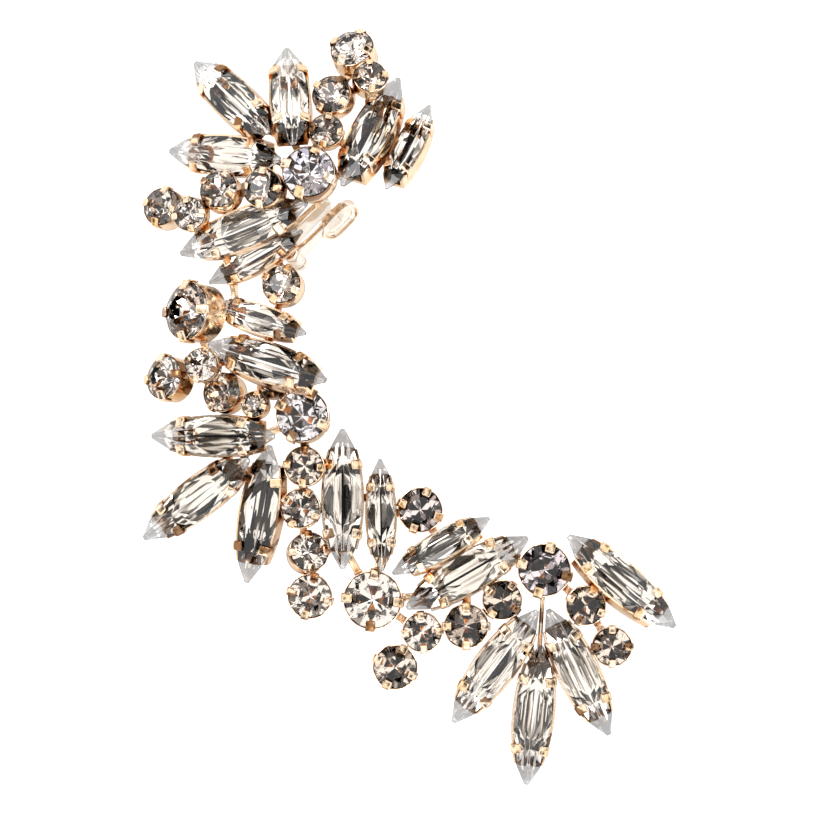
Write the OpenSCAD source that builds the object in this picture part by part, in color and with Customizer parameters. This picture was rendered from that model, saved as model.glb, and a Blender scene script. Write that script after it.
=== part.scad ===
// Clip-on earring: a crescent of clear cut stones in prong settings, lying on its back.
// +X is right and +Y is up in the front view, +Z points at the viewer, Z = 0 is the table it lies on.

/* [Navette stones] */
// Length of a large navette stone
large_l = 15; // [14:0.5:16]
// Width of a large navette stone
large_w = 4.1; // [3.8:0.1:4.2]
// Length of a small navette stone
small_l = 12; // [11:0.5:12.5]
// Width of a small navette stone
small_w = 2.9; // [2.7:0.1:3]

/* [Round stones] */
// Diameter of the largest round stone
round_xl = 6; // [5.7:0.1:6.1]
// Diameter of a large round stone
round_l = 5.4; // [5.2:0.1:5.5]
// Diameter of a middle round stone
round_m = 4.5; // [4.3:0.1:4.6]
// Diameter of a common round stone
round_s = 3.95; // [3.8:0.05:4]
// Diameter of a small round stone
round_xs = 3.4; // [3.3:0.1:3.6]
// Diameter of the smallest round stone
round_xxs = 2.6; // [2.5:0.1:2.8]

/* [Cut] */
// Slope of the facets between the table and the girdle
crown_slope = 36; // [32:1:40]
// Depth of a stone below its edge, as a share of its width
pavilion = 0.4; // [0.34:0.01:0.42]
// Thickness of the stone's edge
girdle_t = 0.16; // [0.12:0.02:0.2]
// Width of a round stone's flat top, as a share of its diameter
round_table = 0.56; // [0.52:0.01:0.6]
// Width of a navette stone's flat top, as a share of its width
navette_table = 0.44; // [0.4:0.01:0.5]
// Length at which a navette's two sides would meet, as a share of its real length
fullness = 1.2; // [1.05:0.01:1.22]
// Distance of a navette's shoulders from its middle, where its tips begin, as a share of its length
shoulder_at = 0.37; // [0.37:0.01:0.42]
// Width of a navette's blunt tip, as a share of its width
tip = 0.11; // [0.06:0.01:0.14]

/* [Settings] */
// Sheet thickness of a setting's wall
wall = 0.22; // [0.2:0.02:0.26]
// Gap between a stone and its setting
fit = 0.05; // [0.04:0.01:0.06]
// Thickness of a setting's floor
floor_t = 0.45; // [0.4:0.05:0.6]
// Depth of the seat that holds a stone, below the stone's edge
seat_depth = 0.28; // [0.26:0.01:0.3]
// Width of the seat round a round stone's well
round_seat = 0.27; // [0.24:0.01:0.28]
// Width of the seat along a navette stone's sides
navette_seat = 0.16; // [0.12:0.01:0.16]
// Length of a navette stone's bare tip past its setting, as a share of its length
bare_tip = 0.145; // [0.13:0.005:0.15]
// Width of a prong
prong_w = 0.75; // [0.6:0.05:0.8]
// Thickness of a prong
prong_t = 0.32; // [0.28:0.02:0.36]
// Length of a prong over the stone's edge
prong_reach = 0.62; // [0.5:0.02:0.7]
// Depth of a prong below the stone's edge
prong_root = 1.1; // [0.9:0.1:1.2]
// Distance of a navette's prongs from its middle, as a share of its length
prong_at = 0.25; // [0.22:0.01:0.28]
// Width of a soldered link bar
link_w = 1; // [0.8:0.1:1.2]
// Thickness of a soldered link bar
link_t = 0.4; // [0.35:0.05:0.45]

/* [Clip] */
// Place of the hinge in plan and height, before the shift to the middle
clip_at = [-12.4, 16.1, 3.6]; // each within 0.3
// Direction of the closed leaf, from the pin to its pad
clip_turn = 45; // [42:1:48]
// Tilt of the leaf about its own length
clip_tilt = 55; // [52:1:58]
// Length of the leaf from its pin
leaf_l = 8.7; // [8.4:0.1:9]
// Thickness of the leaf
leaf_t = 0.7; // [0.6:0.05:0.8]
// Length of the leaf's rounded pad
pad_l = 5; // [4.6:0.1:5.4]
// Width of the leaf's pad
pad_w = 3.4; // [3.2:0.1:3.6]
// Width of the leaf's neck at the pin
neck_w = 1.8; // [1.7:0.1:2]
// Gap between the closed leaf and the base plate, which takes the ear
ear_gap = 1.5; // [1.4:0.1:1.6]
// Length of the base plate
base_l = 7.9; // [7.5:0.1:8.2]
// Width of the base plate
base_w = 3; // [2.8:0.1:3.1]
// Thickness of the base plate
base_t = 0.8; // [0.7:0.05:0.9]
// Thickness of the ears that hold the pin
ear_t = 0.6; // [0.5:0.05:0.7]
// Side play between the leaf's knuckle and an ear
ear_play = 0.08; // [0.06:0.01:0.1]
// Diameter of the knuckle
knuckle_d = 1.7; // [1.6:0.1:1.8]
// Diameter of the hinge pin
pin_d = 0.8; // [0.7:0.05:0.9]
// Running clearance of the pin in the leaf, on the radius
pin_play = 0.04; // [0.02:0.01:0.06]
// Gap of the pin in its ears, on the radius
pin_seat = 0.02; // [0.01:0.01:0.03]
// Thickness of the pin's heads
head_t = 0.25; // [0.2:0.05:0.3]
// Diameter of the pin's heads
head_d = 1.3; // [1.2:0.1:1.4]
// Height of the rolled rim round the pad
rim_h = 0.15; // [0.1:0.05:0.2]
// Width of the rolled rim round the pad
rim_w = 0.45; // [0.4:0.05:0.5]
// Places along the closed leaf where the two posts hold the base plate
post_at = [2, 5.5]; // each within 0.5

/* [Hidden] */
$fn = 48;
eps = 0.01;

// Shift that puts the middle of the earring's box over the origin and its lowest point on the table
middle = [-0.27, 0.31, 0.53];

// Columns: name, length, width, x, y, height of the girdle, angle of the long axis towards the
// outer tip, direction that the face leans to, lean from straight up. Lengths in mm, angles in degrees.
NAVETTES = [
    ["navette_01", large_l, large_w, -19.1, 33.15, 6.5, 136, 136, 42],
    ["navette_02", large_l, large_w, -12.9, 33.25, 8.0, 94, 94, 45],
    ["navette_03", large_l, large_w, -19.85, 27.05, 6.4, 175, 175, 37],
    ["navette_04", large_l, large_w, -17.8, 19.2, 8.8, 201, 175, 15],
    ["navette_05", small_l, small_w, -16.55, 16.2, 6.0, 208, 185, 19],
    ["navette_06", large_l, large_w, -4.3, 29.5, 8.6, 68, 99, 35],
    ["navette_07", small_l, small_w, -0.3, 27.9, 8.0, 69, 98, 38],
    ["navette_08", small_l, small_w, -16.2, 9.6, 7.2, 161, 150, 29],
    ["navette_09", large_l, large_w, -15.3, 5.0, 8.4, 160, 140, 30],
    ["navette_10", large_l, large_w, -21.1, -2.9, 6.0, 180, 180, 28],
    ["navette_11", large_l, large_w, -22.9, -9.6, 4.35, 217, 217, 19],
    ["navette_12", large_l, large_w, -16.3, -11.2, 4.9, 259.5, 190, 17],
    ["navette_13", large_l, large_w, -7.3, -9.6, 5.2, 270, 90, 2],
    ["navette_14", small_l, small_w, -3.2, -11.3, 4.4, 271, 91, 2],
    ["navette_15", small_l, small_w, 3.2, -14.6, 4.9, 29.5, 150, 12],
    ["navette_16", large_l, large_w, 6.0, -17.5, 3.4, 30, 120, 3],
    ["navette_17", large_l, large_w, 22.5, -18.4, 3.6, -40.5, 50, 14],
    ["navette_18", large_l, large_w, 9.0, -27.5, 2.95, 233, 233, 3],
    ["navette_19", large_l, large_w, 13.1, -32.7, 3.2, 264, 264, 3],
    ["navette_20", large_l, large_w, 17.9, -28.1, 2.95, 296, 296, 3],
];

// Columns: name, diameter, x, y, height of the girdle, turn of the prongs, direction that the face
// leans to, lean from straight up
ROUNDS = [
    ["round_01", round_m, -6.3, 38.5, 5.6, 20, 110, 40],
    ["round_02", round_xs, -4.3, 35.4, 8.8, 50, 80, 25],
    ["round_03", round_s, -8.5, 33.5, 9.2, 10, 130, 25],
    ["round_04", round_xs, -9.0, 29.6, 11.2, 35, 100, 12],
    ["round_05", round_l, -10.9, 25.2, 12.8, 25, 120, 17],
    ["round_06", round_s, -15.8, 23.5, 12.0, 40, 150, 20],
    ["round_07", round_s, -20.5, 23.42, 9.0, 15, 135, 28],
    ["round_08", round_xs, -23.6, 20.75, 9.4, 55, 170, 14],
    ["round_09", round_s, -26.6, 21.6, 5.4, 30, 150, 30],
    ["round_10", round_s, -13.8, 13.3, 8.4, 20, 135, 18],
    ["round_11", round_xl, -23.9, 10.45, 6.6, 45, 169, 44],
    ["round_12", round_xs, -22.3, 4.7, 8.0, 25, 160, 12],
    ["round_13", round_m, -26.4, 3.4, 4.2, 50, 165, 41],
    ["round_14", round_s, -20.2, 1.8, 5.4, 10, 160, 24],
    ["round_15", round_xxs, -16.75, 0.5, 7.8, 30, 150, 17],
    ["round_16", round_xxs, -15.0, 2.6, 5.4, 60, 150, 17],
    ["round_17", round_l, -11.6, -0.7, 8.3, 20, 130, 7],
    ["round_18", round_s, -11.4, -6.1, 6.4, 40, 150, 4],
    ["round_19", round_s, -11.8, -10.6, 5.4, 15, 150, 3],
    ["round_20", round_s, -10.85, -15.2, 4.4, 45, 45, 15],
    ["round_21", round_m, -10.8, -20.0, 3.2, 30, 0, 0],
    ["round_22", round_xl, -4.1, -20.4, 3.7, 40, 0, 0],
    ["round_23", round_m, 1.0, -10.8, 3.4, 25, 0, 0],
    ["round_24", round_s, 1.2, -23.85, 3.0, 50, 0, 0],
    ["round_25", round_m, -1.7, -27.6, 3.0, 20, 0, 0],
    ["round_26", round_m, 5.9, -23.2, 3.1, 45, 0, 0],
    ["round_27", round_s, 9.75, -20.4, 3.3, 10, 0, 0],
    ["round_28", round_l, 14.25, -17.2, 3.9, 30, 0, 0],
    ["round_29", round_s, 18.7, -21.0, 3.2, 20, 0, 0],
    ["round_30", round_s, 21.5, -25.4, 2.9, 45, 0, 0],
];

// Columns: from, mm along its long axis, to, mm along its long axis
LINKS = [
    ["navette_01", -4.7, "navette_02", -4.7],
    ["navette_02", -4.7, "round_05", 0],
    ["navette_03", -4.7, "round_05", 0],
    ["navette_03", -4, "round_06", 0],
    ["round_05", 0, "round_06", 0],
    ["round_06", 0, "round_07", 0],
    ["round_07", 0, "round_08", 0],
    ["round_08", 0, "round_09", 0],
    ["round_07", 0, "navette_03", 0],
    ["navette_04", -4.7, "round_05", 0],
    ["navette_04", 3, "round_08", 0],
    ["navette_04", 0, "navette_05", 0],
    ["round_05", 0, "round_04", 0],
    ["round_04", 0, "round_03", 0],
    ["round_03", 0, "round_02", 0],
    ["round_03", 0, "round_01", 0],
    ["round_02", 0, "round_01", 0],
    ["round_04", 0, "navette_06", -2],
    ["navette_06", 0, "navette_07", 0],
    ["navette_06", -4.7, "round_05", 0],
    ["navette_05", -2, "round_10", 0],
    ["round_10", 0, "navette_08", -1],
    ["navette_05", 3.6, "navette_08", 3.6],
    ["round_11", 0, "round_12", 0],
    ["navette_08", 0, "navette_09", 0],
    ["navette_09", 4, "round_12", 0],
    ["round_12", 0, "round_13", 0],
    ["round_12", 0, "round_14", 0],
    ["round_14", 0, "round_15", 0],
    ["round_15", 0, "round_16", 0],
    ["round_16", 0, "navette_09", 0],
    ["round_16", 0, "round_17", 0],
    ["navette_09", -4.7, "round_17", 0],
    ["navette_10", 0, "round_14", 0],
    ["navette_10", -4.7, "round_17", 0],
    ["navette_11", -4.7, "navette_10", -4.7],
    ["navette_12", -4.7, "navette_11", -4.7],
    ["navette_12", 0, "round_19", 0],
    ["round_17", 0, "round_18", 0],
    ["round_18", 0, "round_19", 0],
    ["round_19", 0, "round_20", 0],
    ["round_20", 0, "round_21", 0],
    ["round_18", 0, "navette_13", -3],
    ["round_19", 0, "navette_13", 1],
    ["navette_13", 0, "navette_14", -2],
    ["navette_13", 4.7, "round_22", 0],
    ["round_20", 0, "navette_13", 4],
    ["navette_14", 3.6, "round_22", 0],
    ["navette_14", 0, "round_23", 0],
    ["round_23", 0, "navette_15", 0],
    ["navette_15", 0, "navette_16", 0],
    ["navette_16", -4.7, "round_22", 0],
    ["round_22", 0, "round_24", 0],
    ["round_24", 0, "round_25", 0],
    ["round_24", 0, "round_26", 0],
    ["round_26", 0, "round_27", 0],
    ["round_26", 0, "navette_16", 0],
    ["round_27", 0, "navette_18", -4.7],
    ["navette_16", 4.7, "round_28", 0],
    ["round_28", 0, "navette_19", -4.7],
    ["navette_18", -4.7, "navette_19", -4.7],
    ["navette_19", -4.7, "navette_20", -4.7],
    ["round_28", 0, "round_29", 0],
    ["round_29", 0, "round_30", 0],
    ["round_29", 0, "navette_17", 0],
    ["round_30", 0, "navette_20", 0],
];

// Column numbers that both tables of stones share
NAME = 0;
SIZE = 1;
WIDTH = 2;

// A navette's row has a width, so it is one column longer than a round stone's
function is_navette(s) = len(s) == 9;

// The six last columns: x, y, height, turn about the face, direction of the lean, lean
function place(s) = [for (i = [6 : -1 : 1]) s[len(s) - i]];

// The row of a stone, by its name
function stone(name) = [for (s = concat(NAVETTES, ROUNDS)) if (s[NAME] == name) s][0];

// The smallest round stones share one node, and every other stone is a node of its own
small_rounds = [for (s = ROUNDS) if (s[SIZE] <= round_xs) s];
main_stones = [for (s = concat(NAVETTES, ROUNDS)) if (is_navette(s) || s[SIZE] > round_xs) s];

// Outline

// Radius of a navette's two side arcs
function side_radius(l, w) = (fullness * fullness * l * l + w * w) / (4 * w);

// Corners of a navette's outline: its blunt tips and so many straight runs along each side
function oval(l, w, runs) =
    let (
        r = side_radius(l, w),
        half = asin(shoulder_at * l / r),
        side = [for (i = [0 : runs]) let (a = half - 2 * half * i / runs) [r * sin(a), r * cos(a) - r + w / 2]],
        upper = concat([[l / 2, tip * w / 2]], side, [[-l / 2, tip * w / 2]])
    )
    concat(upper, -upper);

// The space between a navette's two side arcs, for its setting, with the tips left out
module arched(l, w) {
    r = side_radius(l, w);
    intersection() {
        translate([0, w / 2 - r]) circle(r, $fn = 144);
        translate([0, r - w / 2]) circle(r, $fn = 144);
        square([l, 2 * w], center = true);
    }
}

// Heights, all measured from the middle of a stone's edge

// Size across which a stone's facets slope
function across(s) = is_navette(s) ? s[WIDTH] : s[SIZE];

// Top of the table
function crown(s) =
    let (table = is_navette(s) ? navette_table : round_table)
    girdle_t / 2 + (1 - table) / 2 * across(s) * tan(crown_slope);

// Depth of the lowest point
function depth(s) = across(s) * pavilion;

// Depth of the underside of a setting's floor
function foot_depth(s) = depth(s) + fit + floor_t;

// Stones

// A thin slice of an outline, used as a row of corners for a hull
module slice(points, z) {
    translate([0, 0, z]) linear_extrude(eps) polygon(points);
}

// A round brilliant cut: table, star, kite and girdle facets above, main facets and a culet below.
// Each row of corners is a share of the stone's radius and of its crown or depth.
module round_stone(s) {
    r = s[SIZE] / 2;
    hull() {
        translate([0, 0, crown(s) - eps]) rotate(22.5) cylinder(h = eps, r = round_table * r, $fn = 8);
        translate([0, 0, crown(s) * 0.5]) cylinder(h = eps, r = 0.81 * r, $fn = 8);
        translate([0, 0, -girdle_t / 2]) cylinder(h = girdle_t, r = r, $fn = 16);
        translate([0, 0, -depth(s) * 0.86]) rotate(22.5) cylinder(h = eps, r = 0.2 * r, $fn = 8);
        translate([0, 0, -depth(s)]) cylinder(h = eps, r = 0.06 * r, $fn = 8);
    }
}

// A navette cut: a long table with long facets round it, and a keel below. Each row of corners is
// a share of the stone's length and width, and of its crown or depth.
module navette_stone(s) {
    l = s[SIZE];
    w = s[WIDTH];
    hull() {
        slice(oval(0.74 * l, navette_table * w, 3), crown(s) - eps);
        slice(oval(0.89 * l, 0.75 * w, 3), crown(s) * 0.53);
        translate([0, 0, -girdle_t / 2]) linear_extrude(girdle_t) polygon(oval(l, w, 6));
        slice(oval(0.92 * l, 0.66 * w, 3), -depth(s) * 0.45);
        slice(oval(0.8 * l, 0.34 * w, 3), -depth(s) * 0.8);
        slice(oval(0.66 * l, 0.1 * w, 1), -depth(s));
    }
}

// Settings

// Puts its children where a stone stands, turned and leaning as the stone is
module at(s) {
    p = place(s);
    translate([p[0], p[1], p[2]] - middle)
        rotate([0, 0, p[4]])
            rotate([0, p[5], 0])
                rotate([0, 0, p[3] - p[4]])
                    children();
}

// A prong: a tab up the wall, folded down over the stone's crown. Local Y points away from the stone.
module prong(w, reach) {
    slope = tan(crown_slope);
    lift = girdle_t / 2 + fit;
    inner = fit + wall / 2;
    outer = inner + prong_t;
    fold = prong_t / cos(crown_slope);
    rotate([90, 0, 90])
        translate([0, 0, -w / 2])
            linear_extrude(w)
                polygon([
                    [inner, -prong_root],
                    [outer, -prong_root],
                    [outer, lift + 0.1],
                    [inner, lift - inner * slope + fold],
                    [-reach, lift + reach * slope + fold],
                    [-reach, lift + reach * slope],
                    [0, lift],
                    [inner, lift]
                ]);
}

// The four prongs of a round cup, smaller on a small stone
module round_prongs(s) {
    d = s[SIZE];
    for (a = [45 : 90 : 315])
        rotate(a) translate([0, d / 2, 0]) prong(min(prong_w, 0.19 * d), min(prong_reach, 0.15 * d));
}

// The four prongs of a navette setting, square to its curved sides
module navette_prongs(s) {
    r = side_radius(s[SIZE], s[WIDTH]);
    along = asin(prong_at * s[SIZE] / r);
    for (side = [0, 180], a = [-along, along])
        rotate(side)
            translate([0, s[WIDTH] / 2 - r, 0])
                rotate(a)
                    translate([0, r, 0])
                        prong(prong_w, min(prong_reach, 0.15 * s[WIDTH]));
}

// The outer body of a setting. A navette's is cut off short of the stone's tips.
module cup(s) {
    rim = 2 * (fit + wall);
    translate([0, 0, -foot_depth(s)])
        if (is_navette(s))
            linear_extrude(foot_depth(s) + girdle_t / 2)
                intersection() {
                    arched(s[SIZE] + rim, s[WIDTH] + rim);
                    square([s[SIZE] * (1 - 2 * bare_tip), s[WIDTH] + 2 * rim], center = true);
                }
        else
            cylinder(h = foot_depth(s) + girdle_t / 2, d = s[SIZE] + rim);
}

// The room for a stone in its cup: a seat under its edge, and a narrower well for its point
module room(s) {
    seat = girdle_t / 2 + seat_depth;
    well = depth(s) + fit;
    if (is_navette(s)) {
        translate([0, 0, -seat]) linear_extrude(2) arched(s[SIZE] + 4 * fit, s[WIDTH] + 2 * fit);
        translate([0, 0, -well])
            linear_extrude(well) arched(s[SIZE] - 4 * navette_seat, s[WIDTH] - 2 * navette_seat);
    } else {
        translate([0, 0, -seat]) cylinder(h = 2, d = s[SIZE] + 2 * fit);
        translate([0, 0, -well]) cylinder(h = well, d = s[SIZE] - 2 * round_seat);
    }
}

// What a link keeps clear of: a stone's room and half of the wall round it
module keep_out(s) {
    rim = 2 * fit + wall;
    low = depth(s) + fit + wall / 2;
    translate([0, 0, -low])
        if (is_navette(s))
            linear_extrude(low + 2) arched(s[SIZE] + rim, s[WIDTH] + rim);
        else
            cylinder(h = low + 2, d = s[SIZE] + rim);
}

// One whole setting, in place
module setting(s) {
    at(s) {
        difference() {
            cup(s);
            room(s);
        }
        if (is_navette(s)) navette_prongs(s); else round_prongs(s);
    }
}

// Links

// The way that a stone's face points
function facing(s) = let (p = place(s)) [sin(p[5]) * cos(p[4]), sin(p[5]) * sin(p[4]), cos(p[5])];

// The long axis of a stone, turned about its face and then leaning with it
function long_axis(s) =
    let (p = place(s), u = cos(p[3] - p[4]), v = sin(p[3] - p[4]))
    [
        u * cos(p[5]) * cos(p[4]) - v * sin(p[4]),
        u * cos(p[5]) * sin(p[4]) + v * cos(p[4]),
        -u * sin(p[5])
    ];

// A point in the middle of a setting's floor, moved along the stone's long axis
function foot(s, along) =
    let (p = place(s))
    [p[0], p[1], p[2]] - middle
        - (foot_depth(s) - floor_t / 2) * facing(s)
        + along * long_axis(s);

// A flat bar between two points
module bar(a, b, w, h) {
    v = b - a;
    translate(a)
        rotate([0, acos(v[2] / norm(v)), atan2(v[1], v[0])])
            translate([-h / 2, -w / 2, 0])
                cube([h, w, norm(v)]);
}

// One link, which ends inside the walls of the two settings that it joins
module link(k) {
    a = stone(k[0]);
    b = stone(k[2]);
    difference() {
        bar(foot(a, k[1]), foot(b, k[3]), link_w, link_t);
        at(a) keep_out(a);
        at(b) keep_out(b);
    }
}

// Clip

// Puts its children at the hinge: X runs along the closed leaf, Z is the way that it opens
module at_clip() {
    translate(clip_at - middle)
        rotate([0, 0, clip_turn])
            rotate([clip_tilt, 0, 0])
                children();
}

// Where a point in the clip's own frame stands in the earring
function clip_point(x, y, z) =
    let (v = y * cos(clip_tilt) - z * sin(clip_tilt))
    clip_at - middle + [
        x * cos(clip_turn) - v * sin(clip_turn),
        x * sin(clip_turn) + v * cos(clip_turn),
        y * sin(clip_tilt) + z * cos(clip_tilt)
    ];

// The base plate behind the cluster, with two ears that hold the pin
module clip_base() {
    floor_z = -leaf_t / 2 - ear_gap - base_t;
    ear_out = neck_w / 2 + ear_play + ear_t;
    ear_w = knuckle_d - 0.2;
    difference() {
        union() {
            translate([-knuckle_d / 2, -base_w / 2, floor_z]) cube([base_l, base_w, base_t]);
            for (y = [-ear_out, ear_out - ear_t]) {
                translate([-ear_w / 2, y, floor_z + 0.1]) cube([ear_w, ear_t, -floor_z - 0.1]);
                translate([0, y + ear_t, 0]) rotate([90, 0, 0]) cylinder(h = ear_t, d = knuckle_d);
            }
        }
        translate([0, ear_out + 1, 0])
            rotate([90, 0, 0])
                cylinder(h = 2 * ear_out + 2, d = pin_d + 2 * pin_seat);
    }
}

// The pad's outline, with round ends so wide and its upper side in line with the neck's
module pad(w, h) {
    near = leaf_l - pad_l + pad_w / 2;
    far = leaf_l - pad_w / 2;
    translate([0, (neck_w - pad_w) / 2, 0]) {
        for (x = [near, far])
            translate([x, 0, 0]) cylinder(h = h, d = w);
        translate([near, -w / 2, 0]) cube([far - near, w, h]);
    }
}

// The hinged leaf: a flat neck with a knuckle round the pin, and a dished pad with a rolled rim
module clip_leaf() {
    difference() {
        union() {
            translate([0, -neck_w / 2, -leaf_t / 2]) cube([leaf_l - pad_w / 2, neck_w, leaf_t]);
            translate([0, 0, -leaf_t / 2 - rim_h]) pad(pad_w, leaf_t + 2 * rim_h);
            translate([0, neck_w / 2, 0]) rotate([90, 0, 0]) cylinder(h = neck_w, d = knuckle_d);
        }
        translate([0, 0, 0.05]) pad(pad_w - 2 * rim_w, leaf_t);
        translate([0, neck_w, 0]) rotate([90, 0, 0]) cylinder(h = 2 * neck_w, d = pin_d + 2 * pin_play);
    }
}

// The two posts that carry the base plate from the settings above it
module clip_posts() {
    plate_z = -leaf_t / 2 - ear_gap - base_t / 2;
    bar(clip_point(post_at[1], 0, plate_z), foot(stone("round_05"), 0), link_w, link_t);
    bar(clip_point(post_at[0], 0, plate_z), foot(stone("navette_04"), -4), link_w, link_t);
}

// Nodes

module frame() {
    color("rosybrown") {
        for (s = concat(NAVETTES, ROUNDS))
            setting(s);
        for (k = LINKS)
            link(k);
        at_clip() clip_base();
        clip_posts();
    }
}

module clip_paddle() {
    color("peru") at_clip() clip_leaf();
}

// The pin, with a head at each end outside the ears
module clip_pin() {
    half = neck_w / 2 + ear_play + ear_t + pin_seat;
    color("tan")
        at_clip()
            rotate([90, 0, 0]) {
                translate([0, 0, -half - head_t / 2]) cylinder(h = 2 * half + head_t, d = pin_d);
                for (z = [-half - head_t, half])
                    translate([0, 0, z]) cylinder(h = head_t, d = head_d);
            }
}

// One stone, in place
module gem(s) {
    color(is_navette(s) ? "gainsboro" : "lavender")
        at(s)
            if (is_navette(s)) navette_stone(s); else round_stone(s);
}

module small_round_stones() {
    for (s = small_rounds)
        gem(s);
}

frame();
clip_paddle();
clip_pin();
small_round_stones();
for (s = main_stones) gem(s);
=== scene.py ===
# %% [markdown]
# This lesson dresses a clip-on earring: a crescent of clear cut stones in prong settings of rose
# gold colour. A frame of plain solids already holds every stone and the clip at its real place.
# The stones are measured from that frame, so each cut stone and each setting is modelled once, in
# millimetres at the origin, and copied to where the frame has it.

# %% Load the frame
import math
import random

import bmesh
import bpy
from mathutils import Matrix, Vector


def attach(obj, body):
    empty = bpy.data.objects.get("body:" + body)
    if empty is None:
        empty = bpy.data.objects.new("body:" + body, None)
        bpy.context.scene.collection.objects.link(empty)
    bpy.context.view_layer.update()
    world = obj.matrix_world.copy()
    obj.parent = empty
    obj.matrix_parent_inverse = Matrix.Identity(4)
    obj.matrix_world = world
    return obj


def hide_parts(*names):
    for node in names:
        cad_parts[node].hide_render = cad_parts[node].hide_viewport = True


MM = 0.001

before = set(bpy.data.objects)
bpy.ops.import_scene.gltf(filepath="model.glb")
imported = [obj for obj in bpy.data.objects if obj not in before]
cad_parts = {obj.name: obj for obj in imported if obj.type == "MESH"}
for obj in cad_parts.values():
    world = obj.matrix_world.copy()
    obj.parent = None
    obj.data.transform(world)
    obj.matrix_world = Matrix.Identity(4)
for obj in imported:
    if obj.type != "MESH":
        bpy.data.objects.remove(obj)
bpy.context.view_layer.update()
bpy.ops.object.select_all(action="DESELECT")

# %% [markdown]
# The photograph looks straight down on the stones. A long lens far above keeps the high top
# cluster and the low bottom cluster at one scale, as a product photograph does.

# %% Set the camera
VIEW_W = 87.85 * MM
VIEW_MIDDLE = (0.22 * MM, -0.47 * MM)
CAMERA_HEIGHT = 1.5

bpy.ops.object.camera_add(location=(*VIEW_MIDDLE, CAMERA_HEIGHT), rotation=(0, 0, 0))
camera = bpy.context.object
camera.data.lens = camera.data.sensor_width * CAMERA_HEIGHT / VIEW_W
bpy.context.scene.camera = camera
print("lens mm", round(camera.data.lens))

# %% [markdown]
# Every operator works on what is selected, so a few helpers start a piece, select its faces by
# their place or their normal, extrude them, and go in and out of edit mode. FACING tells how
# straight a normal has to point, and NEAR how close a corner has to lie, in millimetres.

# %% Helpers for edit mode
FACING = 0.9
NEAR = 0.01


def edit(on=True):
    """Goes into edit mode, or back out of it."""
    bpy.ops.object.mode_set(mode="EDIT" if on else "OBJECT")


def started():
    """The primitive that was just added, with its place and turn moved into its mesh."""
    bpy.ops.object.transform_apply(location=True, rotation=True, scale=True)
    return bpy.context.object


def only(obj):
    """Makes one object the only selected one."""
    bpy.ops.object.select_all(action="DESELECT")
    obj.select_set(True)
    bpy.context.view_layer.objects.active = obj


def pick(test, kind="FACE"):
    """Selects the faces or vertices of the mesh in edit mode that pass the test."""
    bpy.ops.mesh.select_mode(type=kind)
    bpy.ops.mesh.select_all(action="DESELECT")
    mesh = bmesh.from_edit_mesh(bpy.context.edit_object.data)
    if kind == "FACE":
        for face in mesh.faces:
            face.select_set(test(face.calc_center_median(), face.normal))
    else:
        for vert in mesh.verts:
            vert.select_set(test(vert.co, vert.normal))
    mesh.select_flush_mode()
    bmesh.update_edit_mesh(bpy.context.edit_object.data)


def extrude(x=0, y=0, z=0):
    """Extrudes the selected faces by so much."""
    bpy.ops.mesh.extrude_region_move(TRANSFORM_OT_translate={"value": (x, y, z)})


# %% [markdown]
# More helpers finish a piece: they apply a modifier, round the edges and shade them. On so small
# a piece a bevel can bring two corners to the same place, and these are merged, which keeps the
# mesh closed and without slivers. The distance is in millimetres, as the masters are, because in
# metres they would fall under the operators' own limits.

# %% Helpers that finish a piece
SAME_PLACE = 0.004


def modify(obj, kind, **values):
    """Adds a modifier to a piece, sets its values and applies it."""
    modifier = obj.modifiers.new(kind.lower(), kind)
    for key, value in values.items():
        setattr(modifier, key, value)
    bpy.context.view_layer.objects.active = obj
    bpy.ops.object.modifier_apply(modifier=modifier.name)


def bevel(obj, width, segments=2, angle=30):
    """Rounds the sharp edges of a piece and merges corners that this brings together."""
    limit = {"limit_method": "ANGLE", "angle_limit": math.radians(angle)}
    modify(obj, "BEVEL", width=width, segments=segments, **limit)
    only(obj)
    edit()
    bpy.ops.mesh.select_all(action="SELECT")
    bpy.ops.mesh.remove_doubles(threshold=SAME_PLACE)
    bpy.ops.mesh.dissolve_degenerate(threshold=SAME_PLACE)
    edit(False)


def smooth(obj, angle=40):
    """Shades a piece smooth except where its faces meet at more than the angle."""
    only(obj)
    bpy.ops.object.shade_smooth_by_angle(angle=math.radians(angle))


# %% [markdown]
# What repeats is modelled once, as a master at the origin. Each copy has a mesh of its own, and a
# matrix takes it from millimetres to its real size and place. Copies that the real earring has
# soldered together are joined into one piece.

# %% Helpers that copy and join
def copied(master, matrix):
    """A copy of a master with its own mesh, moved by the matrix."""
    copy = master.copy()
    copy.data = master.data.copy()
    copy.data.transform(matrix)
    bpy.context.collection.objects.link(copy)
    return copy


def placed(master, matrix):
    """A copy of a master in millimetres, brought to real size at its place."""
    return copied(master, matrix @ Matrix.Scale(MM, 4))


def joined(parts, name):
    """Joins several objects into one piece."""
    bpy.ops.object.select_all(action="DESELECT")
    for part in parts:
        part.select_set(True)
    bpy.context.view_layer.objects.active = parts[0]
    if len(parts) > 1:
        bpy.ops.object.join()
    piece = bpy.context.object
    piece.name = name
    piece.data.name = name
    return piece


def drop(*objects):
    """Deletes masters once their copies are made."""
    for obj in objects:
        bpy.data.objects.remove(obj)


# %% [markdown]
# A stone's place is read from its solid. The largest flat facet is the table, whose normal is the
# way that the stone faces. The corners furthest from that normal's axis are the edge, or girdle,
# and for a long stone the corners furthest from its middle are its two blunt tips.

# %% Measure a stone
EDGE_FROM = 0.95


def table_normal(mesh):
    """The normal of the largest flat facet of a stone."""
    sums = {}
    for face in mesh.polygons:
        key = tuple(round(v, 2) for v in face.normal)
        sums[key] = sums.get(key, Vector()) + face.normal * face.area
    return max(sums.values(), key=lambda v: v.length).normalized()


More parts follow.
